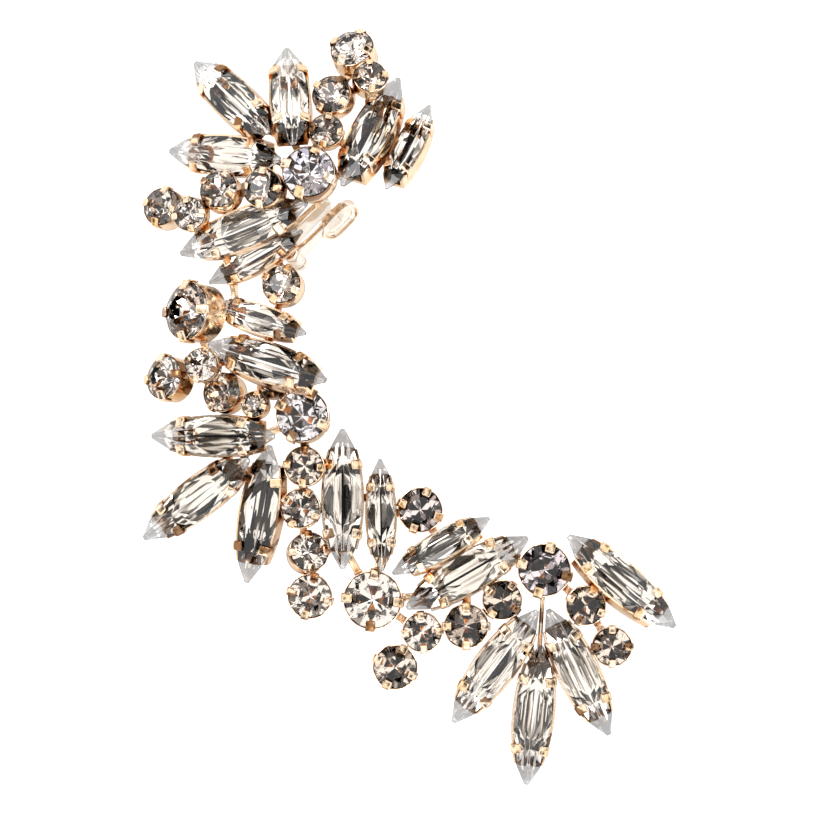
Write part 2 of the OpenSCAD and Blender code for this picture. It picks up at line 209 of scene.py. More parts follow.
def measure(mesh):
    """Centre, facing, long direction, length and width of a stone, in metres."""
    up = table_normal(mesh)
    points = [Vector(p) for p in {tuple(round(c, 7) for c in v.co) for v in mesh.vertices}]
    points.sort(key=tuple)
    middle = sum(points, Vector()) / len(points)
    flat = [p - middle - up * (p - middle).dot(up) for p in points]
    reach = max(v.length for v in flat)
    edge = [p for p, v in zip(points, flat) if v.length > EDGE_FROM * reach]
    centre = sum(edge, Vector()) / len(edge)
    tip = max(points, key=lambda p: (p - centre).length) - centre
    one_end = [p - centre for p in edge if (p - centre).dot(tip) > 0]
    along = sum(one_end, Vector())
    along = (along - up * along.dot(up)).normalized()
    aside = up.cross(along)
    length = 2 * max(abs((p - centre).dot(along)) for p in points)
    width = 2 * max(abs((p - centre).dot(aside)) for p in points)
    return {"at": centre, "up": up, "along": along, "length": length, "width": width}


# %% [markdown]
# The frame keeps the six smallest round stones in one node. A copy of that node has its corners
# merged and is separated into loose parts, and the stones' height in the picture tells which part
# is which stone.

# %% Measure every stone
SMALL_ROUNDS = ("round_02", "round_04", "round_08", "round_12", "round_16", "round_15")
SAME_CORNER = 0.001 * MM


def loose_stones(node):
    """The separate stones of a node that holds several, from the top of the earring down."""
    only(copied(node, Matrix()))
    edit()
    bpy.ops.mesh.select_all(action="SELECT")
    bpy.ops.mesh.remove_doubles(threshold=SAME_CORNER)
    bpy.ops.mesh.separate(type="LOOSE")
    edit(False)
    parts = list(bpy.context.selected_objects)
    found = sorted((measure(part.data) for part in parts), key=lambda stone: -stone["at"].y)
    drop(*parts)
    return found


stones = {}
for name, node in sorted(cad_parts.items()):
    if name.startswith(("navette_", "round_")):
        stones[name] = measure(node.data)
stones.update(zip(SMALL_ROUNDS, loose_stones(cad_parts["small_round_stones"])))
print("stones", len(stones))

# %% [markdown]
# The prongs of a round setting can stand at any turn. Their tips are the only metal that reaches
# over a stone's edge, so the frame's corners found there tell the turn. Four prongs are a quarter
# turn apart: four times the angle is the same for all of them and can be averaged.

# %% Find the turn of each stone's prongs
FIRST_PRONG = 45
TIPS_LOW = 0.1 * MM
TIPS_HIGH = 1.3 * MM
metal = [v.co.copy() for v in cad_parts["frame"].data.vertices]


def set_turn(stone):
    """Turns a round stone's long direction so that its prongs stand at 45 degrees to it."""
    radius = stone["length"] / 2
    up = stone["up"]
    x = stone["along"]
    y = up.cross(x)
    total = Vector((0, 0))
    for point in metal:
        v = point - stone["at"]
        if v.length > radius or not TIPS_LOW < v.dot(up) < TIPS_HIGH:
            continue
        angle = 4 * math.atan2(v.dot(y), v.dot(x))
        total += Vector((math.cos(angle), math.sin(angle)))
    turn = math.atan2(total.y, total.x) / 4 - math.radians(FIRST_PRONG)
    stone["along"] = x * math.cos(turn) + y * math.sin(turn)
    return total.length > 0


def seat(stone):
    """The matrix that takes a master at the origin to a stone's place."""
    x = stone["along"]
    z = stone["up"]
    y = z.cross(x)
    rows = [(x[i], y[i], z[i], stone["at"][i]) for i in range(3)]
    return Matrix((*rows, (0, 0, 0, 1)))


rounds = {n: s for n, s in stones.items() if n.startswith("round_")}
navettes = {n: s for n, s in stones.items() if n.startswith("navette_")}
for name, stone in rounds.items():
    stone["length"] = stone["width"] = max(stone["length"], stone["width"])
    if not set_turn(stone):
        print("no prongs found for", name)
for stone in stones.values():
    stone["seat"] = seat(stone)
print("round sizes mm", sorted({round(s["width"] / MM, 1) for s in rounds.values()}))
print("navette sizes mm", sorted({round(s["length"] / MM, 1) for s in navettes.values()}))

# %% [markdown]
# A round rhinestone is cut like a brilliant, with an eight-sided table, star and kite facets down
# to the edge, and a pointed pavilion below. Each row of corners is added as a circle, and the
# Convex Hull operator stretches the facets over them, just as a cutter's flats meet. The tables
# give each row of eight corners as shares of the stone's radius and of the table's height or the
# pavilion's depth, and tell whether it is turned by half a facet.

# %% Cut a round stone
CROWN_SLOPE = math.tan(math.radians(36))
GIRDLE = 0.16
ROUND_TABLE = 0.56
PAVILION = 0.4
SAME_PLANE = math.radians(0.4)
# share of the radius, share of the height, half turns
ROUND_CROWN = [
    (ROUND_TABLE, 1, 1),
    (0.80, 0.55, 0),
]
# share of the radius, share of the depth, half turns
ROUND_BACK = [
    (0.46, 0.62, 1),
    (0.04, 1, 0),
]


def crown_height(width, table):
    """Height of the table over the middle of the edge, in millimetres."""
    return GIRDLE / 2 + (1 - table) / 2 * width * CROWN_SLOPE


def ring(corners, radius, z, turn=0.0):
    """Adds one row of corners, in a mesh of its own or to the mesh in edit mode."""
    place = {"location": (0, 0, z), "rotation": (0, 0, turn)}
    bpy.ops.mesh.primitive_circle_add(vertices=corners, radius=radius, **place)


def skin():
    """Stretches flat facets over all the corners and joins those that lie in one plane."""
    bpy.ops.mesh.select_mode(type="VERT")
    bpy.ops.mesh.select_all(action="SELECT")
    bpy.ops.mesh.convex_hull(join_triangles=False)
    bpy.ops.mesh.select_all(action="SELECT")
    bpy.ops.mesh.dissolve_limited(angle_limit=SAME_PLANE)
    bpy.ops.mesh.normals_make_consistent(inside=False)


def cut_round(d):
    """A round brilliant of the given diameter."""
    r = d / 2
    top = crown_height(d, ROUND_TABLE)
    depth = PAVILION * d
    half_turn = math.pi / 8
    ring(16, r, GIRDLE / 2)
    stone = started()
    edit()
    ring(16, r, -GIRDLE / 2)
    for share, high, turns in ROUND_CROWN:
        ring(8, share * r, high * top, turns * half_turn)
    for share, low, turns in ROUND_BACK:
        ring(8, share * r, -low * depth, turns * half_turn)
    skin()
    edit(False)
    return stone


master = cut_round(6)
print("facets of a round stone", len(master.data.polygons))
drop(master)

# %% [markdown]
# A navette is a long oval. Each side is one shallow arc, spun from a corner at its shoulder round
# the far centre of the arc, and a narrow plane gives the four corners of the two blunt tips. The
# table is long, the back ends in a keel, and the facets between them are long too, which gives the
# stone its bright streaks from tip to tip. The tables give each row as shares of the stone's
# length, of its width and of the table's height or the back's depth, with its straight runs.

# %% Cut a navette stone
NAVETTE_TABLE = 0.44
FULLNESS = 1.2
SHOULDER = 0.37
TIP = 0.11
SPECK = 0.01
EDGE_RUNS = 6
# share of the length, share of the width, share of the height, runs
NAVETTE_CROWN = [
    (0.74, NAVETTE_TABLE, 1, 3),
    (0.89, 0.75, 0.53, 3),
]
# share of the length, share of the width, share of the depth, runs
NAVETTE_BACK = [
    (0.92, 0.66, 0.3, 3),
    (0.78, 0.34, 0.65, 3),
    (0.5, 0.1, 1, 1),
]


def side_radius(length, width):
    """Radius of a navette's two side arcs, which would meet a little past its real tips."""
    return ((FULLNESS * length) ** 2 + width**2) / (4 * width)


def oval_row(length, width, z, runs):
    """Adds one row of corners: the blunt tips, and so many straight runs on each side."""
    bpy.ops.mesh.select_all(action="DESELECT")
    bpy.ops.mesh.primitive_plane_add(size=1, location=(0, 0, z))
    bpy.ops.transform.resize(value=(length, TIP * width, 1))
    radius = side_radius(length, width)
    half = math.asin(SHOULDER * length / radius)
    for side in (1, -1):
        centre = (0, side * (width / 2 - radius), z)
        shoulder = (side * SHOULDER * length, centre[1] + side * radius * math.cos(half), z)
        bpy.ops.mesh.select_all(action="DESELECT")
        bpy.ops.mesh.primitive_plane_add(size=SPECK, location=shoulder)
        bpy.ops.mesh.merge(type="CENTER")
        bpy.ops.mesh.spin(steps=runs, angle=-2 * half, center=centre, axis=(0, 0, 1))


def cut_navette(length, width):
    """A navette stone, long in x."""
    top = crown_height(width, NAVETTE_TABLE)
    depth = PAVILION * width
    bpy.ops.mesh.primitive_plane_add(size=SPECK)
    stone = bpy.context.object
    edit()
    bpy.ops.mesh.delete(type="VERT")
    oval_row(length, width, GIRDLE / 2, EDGE_RUNS)
    oval_row(length, width, -GIRDLE / 2, EDGE_RUNS)
    for long, wide, high, runs in NAVETTE_CROWN:
        oval_row(long * length, wide * width, high * top, runs)
    for long, wide, low, runs in NAVETTE_BACK:
        oval_row(long * length, wide * width, -low * depth, runs)
    skin()
    edit(False)
    return stone


master = cut_navette(15, 4.1)
print("facets of a navette", len(master.data.polygons))
drop(master)

# %% [markdown]
# A rhinestone is clear only in front: its back facets carry a silver foil, which throws the light
# back out and gives the white and dark facets of the photograph. The faces below the edge
# therefore get a second material. A navette's tips stand out past its setting, and there the foil
# is pale, lets some light through, has a rim painted darker and covers the edge too, which is a
# third material. Each back facet is dealt a tone that the foil's material reads, which paints the
# bright flashes and the dark reflections on the facets. The largest facets are dealt first, in
# blocks, so that the light and the dark ones are mixed among facets of one size.

# %% Back a stone with foil
TIP_FROM = 0.31
BLOCK = 8


def foil_backed(stone, tip_foil_from, materials):
    """Gives the faces below the edge the foil, and the tips the pale tip foil, with their edge."""
    for material in materials:
        stone.data.materials.append(material)
    for face in stone.data.polygons:
        # The tips get the pale tip foil, whose rim is painted darker.
        if abs(face.center.x) > tip_foil_from and face.center.z < NEAR:
            face.material_index = 2
        elif face.center.z < -GIRDLE / 2 - NEAR:
            face.material_index = 1


def tone_facets(stone, seed):
    """Deals tones from 0 to 1 to the back facets, a block at a time from the largest down."""
    chance = random.Random(seed)
    tone = stone.data.attributes.new("tone", "FLOAT", "FACE")
    back = [face for face in stone.data.polygons if face.material_index > 0]
    back.sort(key=lambda face: -round(face.area / MM**2, 2))
    for first in range(0, len(back), BLOCK):
        block = back[first : first + BLOCK]
        chance.shuffle(block)
        for place, face in enumerate(block):
            tone.data[face.index].value = (place + chance.random()) / len(block)


def keep_places(stone):
    """Keeps every corner's place on the master, in millimetres, for the painted streaks along a
    stone and the painted dark rim at its tips.
    """
    place = stone.data.attributes.new("place", "FLOAT_VECTOR", "POINT")
    for value, vert in zip(place.data, stone.data.vertices):
        value.vector = vert.co


# %% [markdown]
# No two stones of the photograph are equally bright, because each faces its own part of the
# studio, and that light and shade is painted into each stone's foil. The foils are named here,
# from bright to dark, and the stones that have each one are listed. The rest have the warm foil or
# the navettes' usual one.

# %% Choose the foils
# Each foil paints a stone brighter or darker, as painted light and shade.
CHOSEN = {
    "clear_foil": ("round_12", "round_13", "round_21", "round_22"),
    "bright_foil": (
        "round_01", "round_07", "round_08", "round_09", "round_19", "round_20", "round_24",
    ),
    "dull_foil": ("round_02", "round_06", "round_15", "round_27", "round_29"),
    "cool_foil": ("round_05", "round_17"),
    "dusky_foil": ("round_28",),
    "shaded_foil": ("round_16", "round_23"),
    "pale_foil": ("navette_08", "navette_13", "navette_14", "navette_18"),
    "soft_foil": (
        "navette_02", "navette_03", "navette_05", "navette_07", "navette_16", "navette_20",
    ),
    "dim_foil": ("navette_15",),
    "deep_foil": ("navette_12",),
}
foil_of = {stone: foil for foil, chosen in CHOSEN.items() for stone in chosen}
glass = bpy.data.materials.new("crystal")
foils = {
    name: bpy.data.materials.new(name)
    for name in (*CHOSEN, "warm_foil", "violet_foil", "navette_foil", "tip_foil")
}
print("foils", len(foils), "stones in the lists", len(foil_of))

# %% [markdown]
# The stones come in eight sizes, so eight masters are cut and copied. A copy takes the master's
# foil with it, and a stone that is in one of the lists gets its own foil in the same place.

# %% Set every stone
def size_key(stone):
    """A stone's length and width to a tenth of a millimetre, which its master is kept under."""
    return round(stone["length"] / MM, 1), round(stone["width"] / MM, 1)


def backed_navette(size):
    """A navette with its foil, and the pale tip foil at its tips."""
    stone = cut_navette(*size)
    keep_places(stone)
    foil_backed(stone, TIP_FROM * size[0], (glass, foils["navette_foil"], foils["tip_foil"]))
    return stone


def backed_round(size):
    """A round stone with its foil, and no tip foil."""
    stone = cut_round(size[0])
    foil_backed(stone, size[0], (glass, foils["warm_foil"]))
    return stone


cut = {}
gems = {}
for name, stone in stones.items():
    key = size_key(stone)
    if key not in cut:
        cut[key] = backed_navette(key) if name in navettes else backed_round(key)
    gems[name] = placed(cut[key], stone["seat"])
    tone_facets(gems[name], name)
    if name in foil_of:
        gems[name].data.materials[1] = foils[foil_of[name]]
drop(*cut.values())
print("gems", len(gems))

# %% [markdown]
# The round stone in the middle of the top cluster shows a violet flash of split light at its upper
# left, which is painted: the back facets on that side get a violet foil. The six smallest stones
# are then joined, since the frame has them in one node, and every other stone is named after the
# solid that it stands for.

# %% Paint a violet flash on a stone and name them all
# The violet foil paints a flash of split light.
VIOLET_WAY = Vector((-1, 0.5, 0))
VIOLET_FROM = 1.0

violet_gem = gems["round_05"].data
violet_gem.materials.append(foils["violet_foil"])
for face in violet_gem.polygons:
    aside = (face.center - stones["round_05"]["at"]) / MM
    if face.material_index == 1 and aside.dot(VIOLET_WAY) > VIOLET_FROM:
        face.material_index = 2
small_gems = joined([gems.pop(name) for name in SMALL_ROUNDS], "small_round_gems")
for name, gem in gems.items():
    gem.name = gem.data.name = "gem_" + name
print("pieces", len(gems) + 1)

# %% [markdown]
# A prong is a narrow tab of sheet that stands up the wall and is pressed over the stone's edge. It
# starts as a small block. Its top is extruded and turned in three short steps, so that the tab
# bends over the crown, and then drawn out along the crown's slope to a narrower tip. A bevel and a
# subdivision surface round it all over, like metal that was pressed and tumbled, and leave its
# face flat, which the photograph shows as pale squares.

# %% Shape a prong
PRONG_W = 1.05
PRONG_T = 0.28
PRONG_ROOT = 1.15
PRONG_OFF = 0.14
PRONG_REACH = 0.61
LIFT = GIRDLE / 2 + 0.05
BEND_CENTRE = LIFT + 0.02
BEND_STEPS = 3
BEND_ANGLE = 18
BEND_UP = 0.11
BEND_IN = 0.07
TAB_SHARES = (0.45, 0.4, 0.15)
TAB_TIP = (0.85, 0.8, 0.8)


def shape_prong():
    """A prong that stands at y = 0, the stone's edge, and reaches towards -y."""
    middle = PRONG_OFF + PRONG_T / 2
    bpy.ops.mesh.primitive_cube_add(size=1, location=(0, middle, (LIFT - PRONG_ROOT) / 2))
    prong = started()
    edit()
    bpy.ops.transform.resize(value=(PRONG_W, PRONG_T, LIFT + PRONG_ROOT))
    pick(lambda c, n: n.z > FACING)
    for step in range(BEND_STEPS):
        extrude(y=-BEND_IN * step, z=BEND_UP)
        centre = (0, PRONG_OFF - BEND_IN * step, BEND_CENTRE)
        turn = math.radians(-BEND_ANGLE)
        bpy.ops.transform.rotate(value=turn, orient_axis="X", center_override=centre)
    slope = math.atan(CROWN_SLOPE)
    for share in TAB_SHARES:
        move = share * (PRONG_REACH + PRONG_OFF)
        extrude(y=-move * math.cos(slope), z=move * math.sin(slope))
    bpy.ops.transform.resize(value=TAB_TIP)
    edit(False)
    bevel(prong, width=0.14, segments=1)
    modify(prong, "SUBSURF", levels=1, render_levels=1)
    bpy.ops.object.shade_smooth()
    return prong


prong = shape_prong()
print("prong faces", len(prong.data.polygons), "box", [round(v, 2) for v in prong.dimensions])

# %% [markdown]
# A round cup is turned from sheet. A cylinder is inset from above and pressed down to a narrow
# seat for the stone's edge and a well for its point. The foot and the rim are drawn in a little,
# and every edge is rounded so that the rim catches a line of light.

# %% Shape a round cup
WALL = 0.22
FIT = 0.05
FLOOR = 0.45
SEAT = GIRDLE / 2 + 0.28
SEAT_W = 0.3
RIM_TOP = 0.0
RIM_IN = 0.12
FOOT_SHARE = 0.95


def foot_depth(width):
    """Depth of a setting's underside below the middle of the stone's edge."""
    return PAVILION * width + FIT + FLOOR


def shape_cup(d):
    """A round cup for a stone of the given diameter."""
    foot = foot_depth(d)
    outer = d / 2 + FIT + WALL
    middle = (0, 0, (RIM_TOP - foot) / 2)
    bpy.ops.mesh.primitive_cylinder_add(
        vertices=40, radius=outer, depth=foot + RIM_TOP, location=middle
    )
    cup = started()
    edit()
    pick(lambda c, n: n.z > FACING)
    bpy.ops.mesh.inset(thickness=WALL)
    extrude(z=-(RIM_TOP + SEAT))
    bpy.ops.mesh.inset(thickness=SEAT_W)
    extrude(z=-(foot - SEAT - FLOOR))
    pick(lambda c, n: n.z < -FACING)
    bpy.ops.transform.resize(value=(FOOT_SHARE, FOOT_SHARE, 1))
    pick(lambda co, n: co.z > RIM_TOP - NEAR and math.hypot(co.x, co.y) > outer - NEAR, "VERT")
    drawn = (outer - RIM_IN) / outer
    bpy.ops.transform.resize(value=(drawn, drawn, 1))
    edit(False)
    bevel(cup, width=0.05)
    smooth(cup)
    return cup


# %% [markdown]
# Four prongs stand round a cup, a quarter turn apart. On a small stone the whole prong is smaller,
# so that it covers no more than a fifth of the stone's width.

# %% Set the prongs of a round cup
ROUND_PRONG = 0.2


def add_round_prongs(cup, d):
    """A round setting: its cup and four prongs."""
    size = min(1, ROUND_PRONG * d / PRONG_W)
    parts = [cup]
    for quarter in range(4):
        turn = Matrix.Rotation(math.radians(FIRST_PRONG + 90 * quarter), 4, "Z")
        place = turn @ Matrix.Translation((0, d / 2, 0)) @ Matrix.Scale(size, 4)
        parts.append(copied(prong, place))
    return joined(parts, "round setting")


settings = {}
for stone in rounds.values():
    key = size_key(stone)
    if key not in settings:
        settings[key] = add_round_prongs(shape_cup(key[0]), key[0])
print("round settings", {k[0]: len(s.data.polygons) for k, s in settings.items()})

# %% [markdown]
# A navette's setting is a little boat. Two large cylinders, moved apart, overlap in a long oval,
# so the boat is their intersection, made with a Boolean modifier. Its tips are cut off, because
# the stone's own tips stand bare, and it is hollowed in the same way: a shallow seat for the
# stone's edge, and inside it a well for the stone's back.

# %% Shape a navette's boat
BARE_TIP = 0.145
WELL_IN = 0.16
ARC_CORNERS = 256
TOOL_TOP = 2


def arched(length, width, low, high):
    """A block between a navette's two side arcs, from two cylinders that overlap."""
    radius = side_radius(length, width)
    halves = []
    for side in (-1, 1):
        bpy.ops.mesh.primitive_cylinder_add(
            vertices=ARC_CORNERS,
            radius=radius,
            depth=high - low,
            location=(0, side * (radius - width / 2), (low + high) / 2),
        )
        halves.append(started())
    modify(halves[0], "BOOLEAN", operation="INTERSECT", object=halves[1])
    drop(halves[1])
    return halves[0]


def boat_end(length):
    """How far a boat reaches from its middle to where its tip is cut off."""
    return (0.5 - BARE_TIP) * length


def shape_boat(length, width):
    """A navette's setting without its prongs."""
    foot = foot_depth(width)
    rim = 2 * (FIT + WALL)
    boat = arched(length + rim, width + rim, -foot, RIM_TOP)
    only(boat)
    edit()
    for side in (-1, 1):
        end = (side * boat_end(length), 0, 0)
        bpy.ops.mesh.select_all(action="SELECT")
        bpy.ops.mesh.bisect(plane_co=end, plane_no=(side, 0, 0), clear_outer=True, use_fill=True)
    edit(False)
    hollow = arched(length + 4 * FIT, width + 2 * FIT, -SEAT, TOOL_TOP)
    well = arched(length - 4 * WELL_IN, width - 2 * WELL_IN, FLOOR - foot, TOOL_TOP)
    for tool in (hollow, well):
        modify(boat, "BOOLEAN", operation="DIFFERENCE", object=tool)
    drop(hollow, well)
    only(boat)
    edit()
    pick(lambda c, n: n.z > FACING and c.z > RIM_TOP - NEAR)
    bpy.ops.transform.resize(value=(1, 1 - RIM_IN / width, 1), center_override=(0, 0, 0))
    edit(False)
    bevel(boat, width=0.05)
    smooth(boat)
    return boat


# %% [markdown]
# A boat has two prongs on each side. Each is turned about the centre of the side's arc, so that it
# stands square to the wall, and they too are smaller on the small stones.

# %% Set the prongs of a boat
PRONG_AT = 0.25
NAVETTE_PRONG = 0.3


def add_navette_prongs(boat, length, width):
    """A navette's setting: its boat and four prongs square to the curved sides."""
    radius = side_radius(length, width)
    along = math.asin(PRONG_AT * length / radius)
    size = min(1, NAVETTE_PRONG * width / PRONG_W)
    parts = [boat]
    for side in (0, math.pi):
        for angle in (-along, along):
            place = (
                Matrix.Rotation(side, 4, "Z")
                @ Matrix.Translation((0, width / 2 - radius, 0))
                @ Matrix.Rotation(angle, 4, "Z")
                @ Matrix.Translation((0, radius, 0))
                @ Matrix.Scale(size, 4)
            )
            parts.append(copied(prong, place))
    return joined(parts, "navette setting")


for stone in navettes.values():
    key = size_key(stone)
    if key not in settings:
        settings[key] = add_navette_prongs(shape_boat(*key), *key)
print("settings", {k: len(s.data.polygons) for k, s in settings.items()})

# %% [markdown]
# Each setting goes under its stone. All the round ones become one piece and all the navettes'
# another, because the real settings are soldered into one frame of metal.

# %% Place the settings
gold = bpy.data.materials.new("rose_gold")
for master in settings.values():
    master.data.materials.clear()
    master.data.materials.append(gold)


def set_under(held, name):
    """One piece from the settings of several stones, each under its stone."""
    return joined([placed(settings[size_key(s)], s["seat"]) for s in held.values()], name)


round_settings = set_under(rounds, "round_settings")
navette_settings = set_under(navettes, "navette_settings")
drop(prong, *settings.values())
print("faces", len(round_settings.data.polygons), len(navette_settings.data.polygons))

# %% [markdown]
# Flat bars of sheet join the settings from foot to foot. The list says which settings each bar
# joins and how far from the middle of a long stone it starts, in millimetres. Of the two places
# that lie so far from the middle, the bar takes the one that is nearer to its other end.

# %% List the bars
# first setting, from its middle, second setting, from its middle
LINKS = [
    ("navette_01", 4.7, "navette_02", 4.7), ("navette_02", 4.7, "round_05", 0),
    ("navette_03", 4.7, "round_05", 0), ("navette_03", 4, "round_06", 0),
    ("round_05", 0, "round_06", 0), ("round_06", 0, "round_07", 0),
    ("round_07", 0, "round_08", 0), ("round_08", 0, "round_09", 0),
    ("round_07", 0, "navette_03", 0), ("navette_04", 4.7, "round_05", 0),
    ("navette_04", 3, "round_08", 0), ("navette_04", 0, "navette_05", 0),
    ("round_05", 0, "round_04", 0), ("round_04", 0, "round_03", 0),
    ("round_03", 0, "round_02", 0), ("round_03", 0, "round_01", 0),
    ("round_02", 0, "round_01", 0), ("round_04", 0, "navette_06", 2),
    ("navette_06", 0, "navette_07", 0), ("navette_06", 4.7, "round_05", 0),
    ("navette_05", 2, "round_10", 0), ("round_10", 0, "navette_08", 1),
    ("navette_05", 3.6, "navette_08", 3.6), ("round_11", 0, "round_12", 0),
    ("navette_08", 0, "navette_09", 0), ("navette_09", 4, "round_12", 0),
    ("round_12", 0, "round_13", 0), ("round_12", 0, "round_14", 0),
    ("round_14", 0, "round_15", 0), ("round_15", 0, "round_16", 0),
    ("round_16", 0, "navette_09", 0), ("round_16", 0, "round_17", 0),
    ("navette_09", 4.7, "round_17", 0), ("navette_10", 0, "round_14", 0),
    ("navette_10", 4.7, "round_17", 0), ("navette_11", 4.7, "navette_10", 4.7),
    ("navette_12", 4.7, "navette_11", 4.7), ("navette_12", 0, "round_19", 0),
    ("round_17", 0, "round_18", 0), ("round_18", 0, "round_19", 0),
    ("round_19", 0, "round_20", 0), ("round_20", 0, "round_21", 0),
    ("round_18", 0, "navette_13", 3), ("round_19", 0, "navette_13", 1),
    ("navette_13", 0, "navette_14", 2), ("navette_13", 4.7, "round_22", 0),
    ("round_20", 0, "navette_13", 4), ("navette_14", 3.6, "round_22", 0),
    ("navette_14", 0, "round_23", 0), ("round_23", 0, "navette_15", 0),
    ("navette_15", 0, "navette_16", 0), ("navette_16", 4.7, "round_22", 0),
    ("round_22", 0, "round_24", 0), ("round_24", 0, "round_25", 0),
    ("round_24", 0, "round_26", 0), ("round_26", 0, "round_27", 0),
    ("round_26", 0, "navette_16", 0), ("round_27", 0, "navette_18", 4.7),
    ("navette_16", 4.7, "round_28", 0), ("round_28", 0, "navette_19", 4.7),
    ("navette_18", 4.7, "navette_19", 4.7), ("navette_19", 4.7, "navette_20", 4.7),
    ("round_28", 0, "round_29", 0), ("round_29", 0, "round_30", 0),
    ("round_29", 0, "navette_17", 0), ("round_30", 0, "navette_20", 0),
]
print("bars", len(LINKS))

# %% [markdown]
# A bar is a strip with flared ends, because solder fills the corner where it meets a wall. One
# strip is extruded in short steps with the wide ends on it. The table gives each step's length and
# how much wider and thicker its far end is than the last one.

# %% Shape a bar
LINK_W = 0.8
LINK_T = 0.34
BAR_L = 2
BAR_END = 0.1
FLARE_W = 1.2
FLARE_T = 1.6
# length, width, thickness
BAR_STEPS = [
    (0.15, 0.88, 0.75),
    (0.15, 0.94, 0.83),
    (1.2, 1, 1),
    (0.15, 1.06, 1.2),
    (0.15, 1.14, 1.33),
]


def shape_bar():
    """A strip 2 mm long from the origin along +z, with flared ends."""
    middle = (0, 0, BAR_END / 2)
    bpy.ops.mesh.primitive_cube_add(size=1, location=middle)
    bar = started()
    edit()
    end = (FLARE_T * LINK_T, FLARE_W * LINK_W, BAR_END)
    bpy.ops.transform.resize(value=end, center_override=middle)
    pick(lambda c, n: n.z > FACING)
    for length, wide, thick in BAR_STEPS:
        extrude(z=length)
        bpy.ops.transform.resize(value=(thick, wide, 1))
    extrude(z=BAR_END)
    edit(False)
    bevel(bar, width=0.1, angle=50)
    smooth(bar, 50)
    return bar


bar = shape_bar()
print("bar faces", len(bar.data.polygons), "box", [round(v, 2) for v in bar.dimensions])

# %% [markdown]
# A bar runs between the middles of two floors, but begins where it leaves the wall of its setting,
# so that none of it lies under a stone. That place is found in small steps from the floor's middle
# outwards. A point is inside a wall if it is, seen from the stone, inside the setting's outline
# and above its foot.

# %% Find the ends of a bar
ABOVE_FOOT = 0.1
STEP = 0.05


def inside_wall(stone, point):
    """Whether a point lies inside the outer wall of a stone's setting, in millimetres."""
    local = stone["seat"].inverted() @ (point * MM) / MM
    length, width = size_key(stone)
    if local.z < ABOVE_FOOT - foot_depth(width):
        return False
    edge = FIT + WALL / 2
    if length == width:
        return math.hypot(local.x, local.y) < width / 2 + edge
    radius = side_radius(length, width)
    arc = math.hypot(local.x, abs(local.y) + radius - width / 2) < radius + edge
    return arc and abs(local.x) < boat_end(length) - WALL


def leave(stone, start, way):
    """How far along its way a bar leaves the wall that it starts in."""
    far = 0.0
    while inside_wall(stone, start + way * far):
        far += STEP
    return far


def floor_places(stone, from_middle):
    """The two places in a setting's floor that lie so far from its middle, in millimetres."""
    down = foot_depth(size_key(stone)[1]) - FLOOR / 2
    middle = stone["at"] / MM - stone["up"] * down
    return [middle + stone["along"] * (side * from_middle) for side in (1, -1)]


def nearest_pair(starts, ends):
    """The start and the end that are nearest to each other."""
    pairs = [(start, end) for start in starts for end in ends]
    return min(pairs, key=lambda pair: (pair[0] - pair[1]).length)


# %% [markdown]
# A copy of the strip is stretched in its middle only, so that the flares keep their shape on a
# long bar and on a short one. A long bar is also drawn out narrower, as the photograph shows.
# Where two walls nearly touch there is no room for a bar, and it is left out.

# %% Set the bars
FULL_UNTIL = 3.5
SLIMMEST = 0.6
SHORTEST = 0.15


def set_bar(start, end, from_wall, to_wall, full_until):
    """A copy of the bar between two points, without the lengths that lie in the walls."""
    way = (end - start).normalized()
    length = (end - start).length - from_wall - to_wall
    if length < SHORTEST:
        return None
    copy = copied(bar, Matrix())
    for vert in copy.data.vertices:
        vert.co.y *= max(SLIMMEST, min(1, full_until / length))
        if length < BAR_L:
            vert.co.z *= length / BAR_L
        elif vert.co.z > BAR_L / 2:
            vert.co.z += length - BAR_L
    x = Vector((-way.y, way.x, 0)).normalized().cross(way)
    turn = Matrix((x, way.cross(x), way)).transposed().to_4x4()
    place = Matrix.Translation(start + way * from_wall)
    copy.data.transform(Matrix.Scale(MM, 4) @ place @ turn)
    return copy


bars = []
for first, from_first, second, from_second in LINKS:
    a = stones[first]
    b = stones[second]
    start, end = nearest_pair(floor_places(a, from_first), floor_places(b, from_second))
    way = (end - start).normalized()
    piece = set_bar(start, end, leave(a, start, way), leave(b, end, -way), FULL_UNTIL)
    if piece:
        bars.append(piece)
print("bars seen between settings", len(bars))

# %% [markdown]
# The clip holds the earring on the edge of the ear. A base plate is held behind the top cluster by
# two short posts, and two ears on it carry a pin. The leaf swings on the pin and its long pad
# presses the ear against the plate. All of it is shaped lying flat, with x along the leaf, y along
# the pin and z the way that the leaf opens, and is then turned into place in one go.

# %% Shape the base plate
CLIP_AT = Vector((-12.13, 15.79, 3.07))
CLIP_TURN = math.radians(45)
CLIP_TILT = math.radians(55)
KNUCKLE_D = 1.7
BASE_L = 7.9
BASE_W = 3.0
BASE_T = 0.8
PLATE_Z = -2.65
END_SHARE = 0.72
END_BACK = 0.55
clip_seat = (
    Matrix.Scale(MM, 4)
    @ Matrix.Translation(CLIP_AT)
    @ Matrix.Rotation(CLIP_TURN, 4, "Z")
    @ Matrix.Rotation(CLIP_TILT, 4, "X")
)


def shape_plate():
    """The base plate, with a narrower, rounded far end and softly rolled edges."""
    middle = (BASE_L - KNUCKLE_D) / 2
    bpy.ops.mesh.primitive_cube_add(size=1, location=(middle, 0, PLATE_Z + BASE_T / 2))
    plate = started()
    edit()
    bpy.ops.transform.resize(value=(BASE_L, BASE_W, BASE_T))
    pick(lambda c, n: n.x > FACING)
    bpy.ops.transform.resize(value=(1, END_SHARE, 1))
    bpy.ops.mesh.select_all(action="SELECT")
    bpy.ops.mesh.subdivide(number_cuts=1)
    pick(lambda co, n: co.x > middle + NEAR and abs(co.y) > NEAR, "VERT")
    bpy.ops.transform.translate(value=(-END_BACK, 0, 0))
    edit(False)
    bevel(plate, width=0.16, segments=3, angle=20)
    return plate


plate = shape_plate()
print("plate faces", len(plate.data.polygons))

